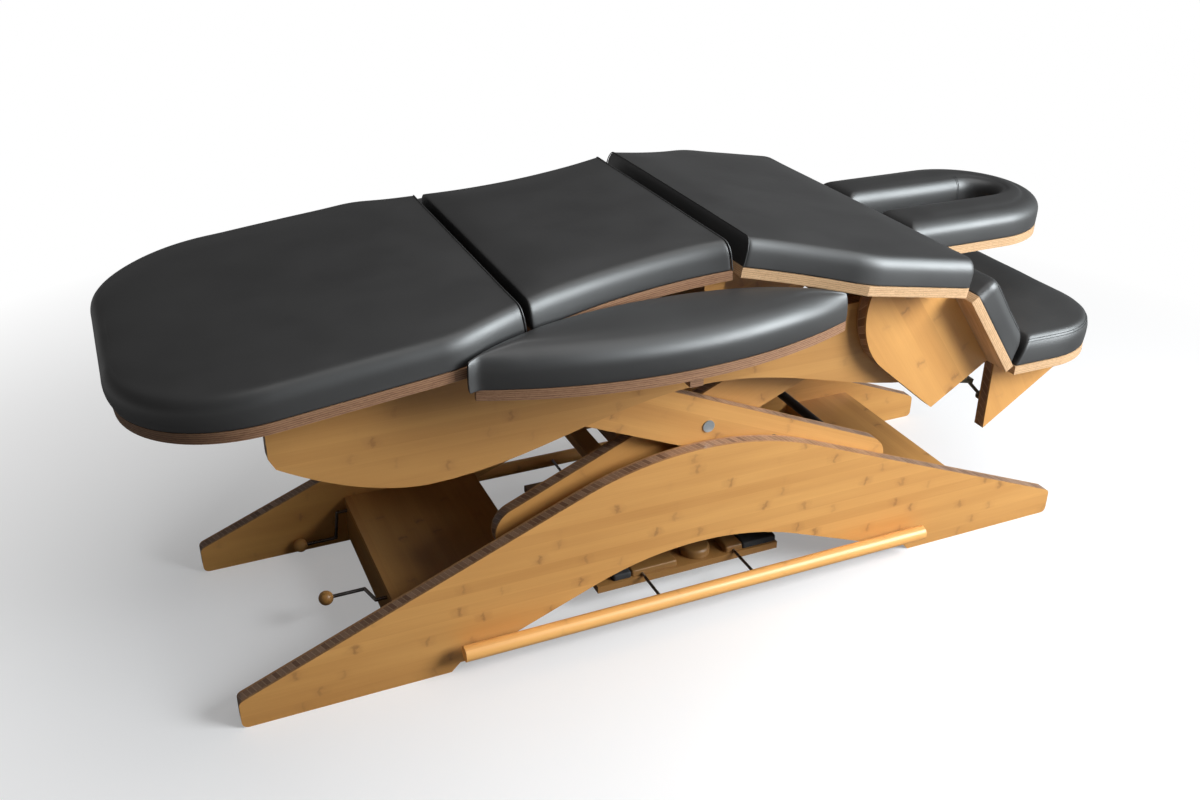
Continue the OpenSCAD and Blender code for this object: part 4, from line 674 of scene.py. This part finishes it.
pads = {
    "leg_pad": even_pad("leg_pad", leg_x, leg_half, (0.020, 0.022, 0.002), (0.001, 0.008, 0.0018)),
    "mid_pad": even_pad("mid_pad", mid_x, mid_half, (0.018, 0.003, 0.002), (0.001, 0.0018, 0.0005),
                        widest=0.272, across=MID_END),
    "thorax_pad": even_pad("thorax_pad", thorax_x, thorax_half, (0.021, 0.003, 0.005),
                           (0.002, 0.0005, 0.001)),
    "forearm_pad": even_pad("forearm_pad", forearm_x, forearm_half, (0.016, 0.010, 0.018),
                            (0.001, -0.001, 0.002), 0.060),
    "shoulder_pad": cushion("shoulder_pad", shoulder_ring, 0.054, across=SHOULDER_END),
    "cradle_pad": cushion("cradle_pad", cradle_ring, 0.058, across=14),
    "wing_pad_near": cushion("wing_pad_near", wing_ring(-1), 0.052, 0.001, 18),
    "wing_pad_far": cushion("wing_pad_far", wing_ring(1), 0.052, 0.001, 18),
}
for side in ("near", "far"):
    raise_wing(pads["wing_pad_" + side])

# %% [markdown]
# A drawn outline has no tension in it. The real cover is cut a little small, and the foam pushes
# it out where it is least held: the middle of a wall bulges, a corner stays back. Blender's cloth
# with a little pressure inside finds that form. The underside is pinned, gravity is off because
# the cover is tight, and how far a point may go is limited softly, so it can't meet a neighbour.

# %% Cloth simulation
PINNED_BELOW = 0.0026
COVER = {"quality": 4, "mass": 0.25, "tension_stiffness": 12, "compression_stiffness": 12,
         "shear_stiffness": 6, "bending_stiffness": 0.8, "use_pressure": True,
         "vertex_group_mass": "stapled"}


def evened(move, edges, held, rounds):
    """Each round puts every free point's move halfway to the mean of its neighbours' moves."""
    count = np.bincount(edges.ravel(), minlength=len(move))[:, None]
    for _ in range(rounds):
        total = np.zeros_like(move)
        np.add.at(total, edges[:, 0], move[edges[:, 1]])
        np.add.at(total, edges[:, 1], move[edges[:, 0]])
        move = np.where(held[:, None], 0, (move + total / count) / 2)
    return move


def inflate(pads, frames=20, pressure=3.2, limit=0.0045, rounds=36):
    """Runs all covers at once, moves each point by d times limit over (limit plus |d|), and
    evens these moves, because a tight cover has no creases."""
    scene = bpy.context.scene
    scene.frame_start, scene.frame_end = 1, frames
    rest = {}
    for name, pad in pads.items():
        rest[name] = coordinates(pad)
        group = pad.vertex_groups.new(name="stapled")
        group.add(np.nonzero(rest[name][:, 2] < PINNED_BELOW)[0].tolist(), 1.0, "REPLACE")
        cover = pad.modifiers.new("cover", "CLOTH")
        for setting, value in COVER.items():
            setattr(cover.settings, setting, value)
        cover.settings.uniform_pressure_force = pressure
        cover.settings.effector_weights.gravity = 0
        cover.point_cache.frame_start, cover.point_cache.frame_end = 1, frames
    for step in range(1, frames + 1):
        scene.frame_set(step)
    graph = bpy.context.evaluated_depsgraph_get()
    for name, pad in pads.items():
        move = coordinates(pad.evaluated_get(graph)) - rest[name]
        far = np.linalg.norm(move, axis=1, keepdims=True)
        edges = np.empty(len(pad.data.edges) * 2, np.int32)
        pad.data.edges.foreach_get("vertices", edges)
        held = rest[name][:, 2] < PINNED_BELOW
        settled = rest[name] + evened(move * limit / (limit + far), edges.reshape(-1, 2), held, rounds)
        pad.modifiers.clear()
        set_coordinates(pad, settled)
        print(name, "swelled", round(float(far.max()) * 1000, 1), "mm, kept",
              round(float(np.linalg.norm(settled - rest[name], axis=1).max()) * 1000, 1))
    scene.frame_set(1)


flat = {name: coordinates(pad) for name, pad in pads.items()}
inflate(pads)

# %% [markdown]
# So far each cushion lies flat at the origin. Now its points are carried to their place: first
# the ends that meet over the elbows are leaned, then the whole is tilted with its board.

# %% Carry the cushions to their boards
def lean(made, foot, head):
    """Shears x by height, by a slope that goes from foot to head along x."""
    points = coordinates(made)
    x = points[:, 0]
    place = np.clip((x - x.min()) / (x.max() - x.min()), 0, 1)
    points[:, 0] += points[:, 2] * (foot + (head - foot) * place)
    set_coordinates(made, points)


def tilt(made, angle, origin, lift=0.0):
    """Lifts z, turns x towards z by the angle, and moves the origin to a place in x and z."""
    x, y, z = coordinates(made).T
    z = z + lift
    set_coordinates(made, np.column_stack([origin[0] + x * cos(angle) - z * sin(angle), y,
                                           origin[1] + x * sin(angle) + z * cos(angle)]))


RIDGE = (0.0986, 0.767)
SHOULDER_HINGE = (0.542, 0.603)
BOARD = 0.018
FOREARM_BOARD_Z = 0.430
lean(pads["forearm_pad"], 0.024 / 0.058, 0)
lean(pads["shoulder_pad"], 0, -0.036 / 0.054)
tilt(pads["leg_pad"], LEG_TILT, RIDGE, -FOAM)
tilt(pads["mid_pad"], LEG_TILT, RIDGE, -FOAM)
tilt(pads["thorax_pad"], -THORAX_TILT, RIDGE, -FOAM)
tilt(pads["shoulder_pad"], -SHOULDER_TILT, SHOULDER_HINGE, BOARD)
tilt(pads["cradle_pad"], 0, (0, CRADLE_BOARD_Z + BOARD))
tilt(pads["forearm_pad"], 0, (0, FOREARM_BOARD_Z + BOARD))
tilt(pads["wing_pad_near"], 0, (0, WING_BOARD_Z + BOARD))
tilt(pads["wing_pad_far"], 0, (0, WING_BOARD_Z + BOARD))

HOMES = {"leg_pad": ("leg_section", "leg_cushion"), "mid_pad": ("mid_section", "mid_cushion"),
         "thorax_pad": ("head_section", "thorax_cushion"),
         "shoulder_pad": ("head_section", "shoulder_cushion"),
         "cradle_pad": ("face_cradle", "cradle_cushion"),
         "forearm_pad": ("forearm_rest", "forearm_cushion"),
         "wing_pad_near": ("wing_near", "wing_cushion_near"),
         "wing_pad_far": ("wing_far", "wing_cushion_far")}


def finer(made):
    """One round of subdivision, the same in the view and in the render."""
    rounds = made.modifiers.new("finer", "SUBSURF")
    rounds.levels = rounds.render_levels = 1


for name, pad in pads.items():
    body, node = HOMES[name]
    pad.data.materials.append(hide)
    finer(pad)
    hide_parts(node)
    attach(pad, body)
    low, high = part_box(node)
    points = coordinates(pad)
    print(name, "stands proud by mm", (1000 * (np.array(low) - points.min(0))).round(1),
          (1000 * (points.max(0) - np.array(high))).round(1))

# %% [markdown]
# The covers are sewn. At the ends that meet, a thin welt runs up one corner, over the edge and
# down the other. The elbow pads and the face cushion show two rows of stitches a few millimetres
# apart. A seam drawn into the slab would be smoothed away by the simulation, so it comes after:
# each one follows a row or a column of grid points, found again by where they lay at rest.

# %% Welts and stitches
def tube(name, path, radius, sides=6):
    """Rings round a path, at radius times the cosine and sine of an angle along two directions
    square to it, with a closing point at each end."""
    run = np.gradient(path, axis=0)
    run /= np.linalg.norm(run, axis=1, keepdims=True)
    side = np.cross(run, (0.31, 0.22, 0.92))
    side /= np.linalg.norm(side, axis=1, keepdims=True)
    other = np.cross(run, side)
    angle = np.arange(sides) * 2 * pi / sides
    ring = path[:, None] + radius * (np.cos(angle)[None, :, None] * side[:, None]
                                     + np.sin(angle)[None, :, None] * other[:, None])
    count = len(path) * sides
    points = np.vstack([ring.reshape(-1, 3), path[:1], path[-1:]])
    caps = [[count, (k + 1) % sides, k] for k in range(sides)]
    caps += [[count + 1, count - sides + k, count - sides + (k + 1) % sides] for k in range(sides)]
    return build_mesh(name, points, quads(len(path), sides, 0, True), caps, 1e-7)


def on_cover(name, line):
    """Where the points that lay at these places on the flat slab are now."""
    apart = ((line[:, None] - flat[name][None]) ** 2).sum(-1)
    return coordinates(pads[name])[apart.argmin(1)]


def end_line(name, columns, across, foot):
    """Up the near corner of an end, over its top edge and down the far corner."""
    walls = grids[name]
    if foot:
        order = [0] + list(range(2 * columns + 2 * across - 3, 2 * columns + across - 3, -1))
    else:
        order = list(range(columns - 1, columns + across))
    return np.vstack([walls[:, order[0]], walls[-1, order[1:-1]], walls[::-1, order[-1]]])


def sewn(name, pad, path, radius, finish):
    """A round bead along points of a cushion's grid, which moves with the cushion."""
    made = tube(name, on_cover(pad, path), radius)
    made.data.materials.append(finish)
    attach(made, HOMES[pad][0])


WELT_R = 0.0014
THREAD_R = 0.0007
sewn("leg_welt", "leg_pad", end_line("leg_pad", len(leg_x), LONG_END, False), WELT_R, hide)
sewn("mid_welt", "mid_pad", end_line("mid_pad", len(mid_x), MID_END, False), WELT_R, hide)
sewn("thorax_welt", "thorax_pad", end_line("thorax_pad", len(thorax_x), LONG_END, True), 0.0011, hide)
for row, title in ((8, "lower"), (9, "upper")):
    around = grids["forearm_pad"][row, :2 * len(forearm_x) + LONG_END - 1]
    sewn("forearm_stitches_" + title, "forearm_pad", around, THREAD_R, thread)
columns = grids["shoulder_pad"].shape[1] // 2 - SHOULDER_END + 1
for row, title in ((9, "outer"), (11, "inner")):
    walls = grids["shoulder_pad"][row]
    near_end = np.vstack([walls[:1], walls[2 * columns + SHOULDER_END - 2:][::-1]])
    far_end = walls[columns - 1:columns + SHOULDER_END]
    sewn("shoulder_stitches_near_" + title, "shoulder_pad", near_end, THREAD_R, thread)
    sewn("shoulder_stitches_far_" + title, "shoulder_pad", far_end, THREAD_R, thread)
for column, title in ((120, "far_a"), (121, "far_b"), (163, "near_a"), (162, "near_b")):
    sewn("cradle_stitches_" + title, "cradle_pad", grids["cradle_pad"][1:, column], THREAD_R, thread)

# %% [markdown]
# The treadle carries two rubber blocks, two small wooden boards and a turned knob between them.
# They are small and dark, yet a bare block would look unfinished from the side. The slab of the
# cushions serves again: a rounded outline, walls, and an edge that is rolled in.

# %% Treadle pads
def block_ring(x0, x1, y0, y1, corner, roll):
    """Columns of a rectangle with round corners, drawn in at the top by the roll."""
    turn = np.linspace(0, pi / 2, 7)
    long, wide, middle = x1 - x0, y1 - y0, (y0 + y1) / 2
    run = np.concatenate([corner * (1 - np.cos(turn)), np.linspace(corner, long - corner, 8)[1:-1],
                          long - corner * (1 - np.sin(turn))])
    ends = np.minimum(np.clip(run / corner, 0, 1), np.clip((long - run) / corner, 0, 1))
    half = wide / 2 - corner * (1 - np.sqrt(1 - (1 - ends) ** 2))

    def ring_of(level):
        """Both directions shrink in proportion, so the outline keeps its form."""
        inward = drawn_in(level, roll, 0)
        x = x0 + inward + run * (1 - 2 * inward / long)
        width = half * (1 - 2 * inward / wide)
        return np.column_stack([x, middle - width]), np.column_stack([x, middle + width])
    return ring_of


TREADLE_TOP = 0.060
PAD_Y = (-0.200, -0.135)
PAD_H = 0.014


def treadle_piece(name, box, height, corner, roll, finish):
    """One pad on the treadle board, box being its x and y limits."""
    made = cushion(name, block_ring(*box, corner, roll), height, 0.0012, 10)
    tilt(made, 0, (0, TREADLE_TOP))
    made.data.materials.append(finish)
    finer(made)
    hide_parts("treadle_pads")
    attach(made, "treadle")


treadle_wood = bamboo("bamboo_treadle_boards", 0, 1, 0, None, None, 5.2, 0.42)
for title, ends in (("foot", (-0.105, -0.065)), ("head", (0.184, 0.263))):
    treadle_piece("treadle_rubber_" + title, ends + PAD_Y, PAD_H, 0.006, 0.003, black_rubber)
for title, ends in (("foot", (-0.065, 0.035)), ("head", (0.145, 0.184))):
    treadle_piece("treadle_wood_" + title, ends + PAD_Y, PAD_H, 0.005, 0.002, treadle_wood)
treadle_piece("treadle_knob", (0.059, 0.121, -0.1985, -0.1365), 0.020, 0.031, 0.006,
              treadle_wood)

# %% [markdown]
# The room is a pale floor and soft lamps, as in a small studio. The main one stands in front of
# the head end and a broad one hangs above. Next to the main one is a tall window, which is seen
# only as a shine on the hide. The white behind the table is only a colour that the camera and
# the shine see, and the shine sees less of it, as in a room with dark walls.

# %% Floor, lamps and backdrop
def lamp(name, place, aim, size, power, colour=(1, 1, 1)):
    """A square area lamp that faces a point."""
    data = bpy.data.lights.new(name, "AREA")
    data.size = size
    data.energy = power
    data.color = colour
    made = bpy.data.objects.new(name, data)
    made.location = place
    made.rotation_euler = (Vector(aim) - Vector(place)).to_track_quat("-Z", "Y").to_euler()
    bpy.context.scene.collection.objects.link(made)
    return made


lamp("main_lamp", (1.90, -2.00, 1.75), (0.2, -0.1, 0.4), 1.5, 130, (0.94, 0.97, 1.0))
lamp("overhead_lamp", (0.3, -0.2, 3.0), (0, 0, 0.3), 2.4, 34)
window = lamp("window", (2.5, -2.1, 2.1), (0.3, -0.1, 0.6), 2.1, 150, (0.84, 0.96, 1.0))
window.visible_diffuse = False

world = bpy.data.worlds.new("studio")
bpy.context.scene.world = world
world.use_nodes = True
air = world.node_tree
air.nodes.clear()


def rays(tree):
    """One on camera rays, and one on camera, glossy and transmission rays."""
    path = put(tree, "ShaderNodeLightPath").outputs
    mirrored = sums(tree, "MAXIMUM", path["Is Glossy Ray"], path["Is Transmission Ray"])
    return path["Is Camera Ray"], sums(tree, "MAXIMUM", path["Is Camera Ray"], mirrored)


camera_ray, seen = rays(air)
direction = put(air, "ShaderNodeSeparateXYZ",
                {0: put(air, "ShaderNodeTexCoord").outputs["Generated"]}).outputs[2]
dim = put(air, "ShaderNodeBackground", {"Color": (0.95, 0.97, 1, 1), "Strength": 0.10})
strength = sums(air, "MAXIMUM", camera_ray, spread(air, direction, -0.02, 0.17, 0.5, 0.12))
bright = put(air, "ShaderNodeBackground", {"Color": (1, 1, 1, 1), "Strength": strength})
mixed = put(air, "ShaderNodeMixShader", {0: seen, 1: dim.outputs[0], 2: bright.outputs[0]})
put(air, "ShaderNodeOutputWorld", {"Surface": mixed.outputs[0]})

HALF_ROOM = 9
corners = [(x * HALF_ROOM, y * HALF_ROOM, 0) for x, y in ((-1, -1), (1, -1), (1, 1), (-1, 1))]
floor_mesh = bpy.data.meshes.new("floor")
floor_mesh.from_pydata(corners, [], [(0, 1, 2, 3)])
floor = bpy.data.objects.new("floor", floor_mesh)
bpy.context.scene.collection.objects.link(floor)
floor_material, floor_tree, floor_shader = new_material("pale_floor", **{"Specular IOR Level": 0.1})
place = put(floor_tree, "ShaderNodeTexCoord").outputs["Object"]
mottle = noise(floor_tree, place, 3, 2)
camera_ray, seen = rays(floor_tree)
pale = between(floor_tree, mottle, (0.92, 0.92, 0.92, 1), (0.95, 0.95, 0.95, 1))
base = between(floor_tree, camera_ray, (0.24, 0.24, 0.24, 1), pale)
connect(floor_tree, floor_shader, base=base, roughness=spread(floor_tree, mottle, 0, 1, 0.8, 0.9))
reach = put(floor_tree, "ShaderNodeVectorMath", {0: place}, operation="LENGTH").outputs["Value"]
white = put(floor_tree, "ShaderNodeEmission",
            {"Color": (1, 1, 1, 1), "Strength": spread(floor_tree, camera_ray, 0, 1, 0.5, 1)})
near_share = sums(floor_tree, "MULTIPLY", camera_ray, spread(floor_tree, reach, 0.9, 2.3, 0.3, 1))
far_share = sums(floor_tree, "MAXIMUM", near_share,
                 sums(floor_tree, "MULTIPLY", seen, spread(floor_tree, reach, 1.7, 4.0, 0, 1)))
blend = put(floor_tree, "ShaderNodeMixShader",
            {0: far_share, 1: floor_shader.outputs[0], 2: white.outputs[0]})
out = next(n for n in floor_tree.nodes if n.type == "OUTPUT_MATERIAL")
floor_tree.links.new(blend.outputs[0], out.inputs["Surface"])
floor.data.materials.append(floor_material)
bpy.context.scene.view_settings.view_transform = "Standard"

# %% [markdown]
# Last, the view layer is brought up to date.

# %% Update
bpy.context.view_layer.update()
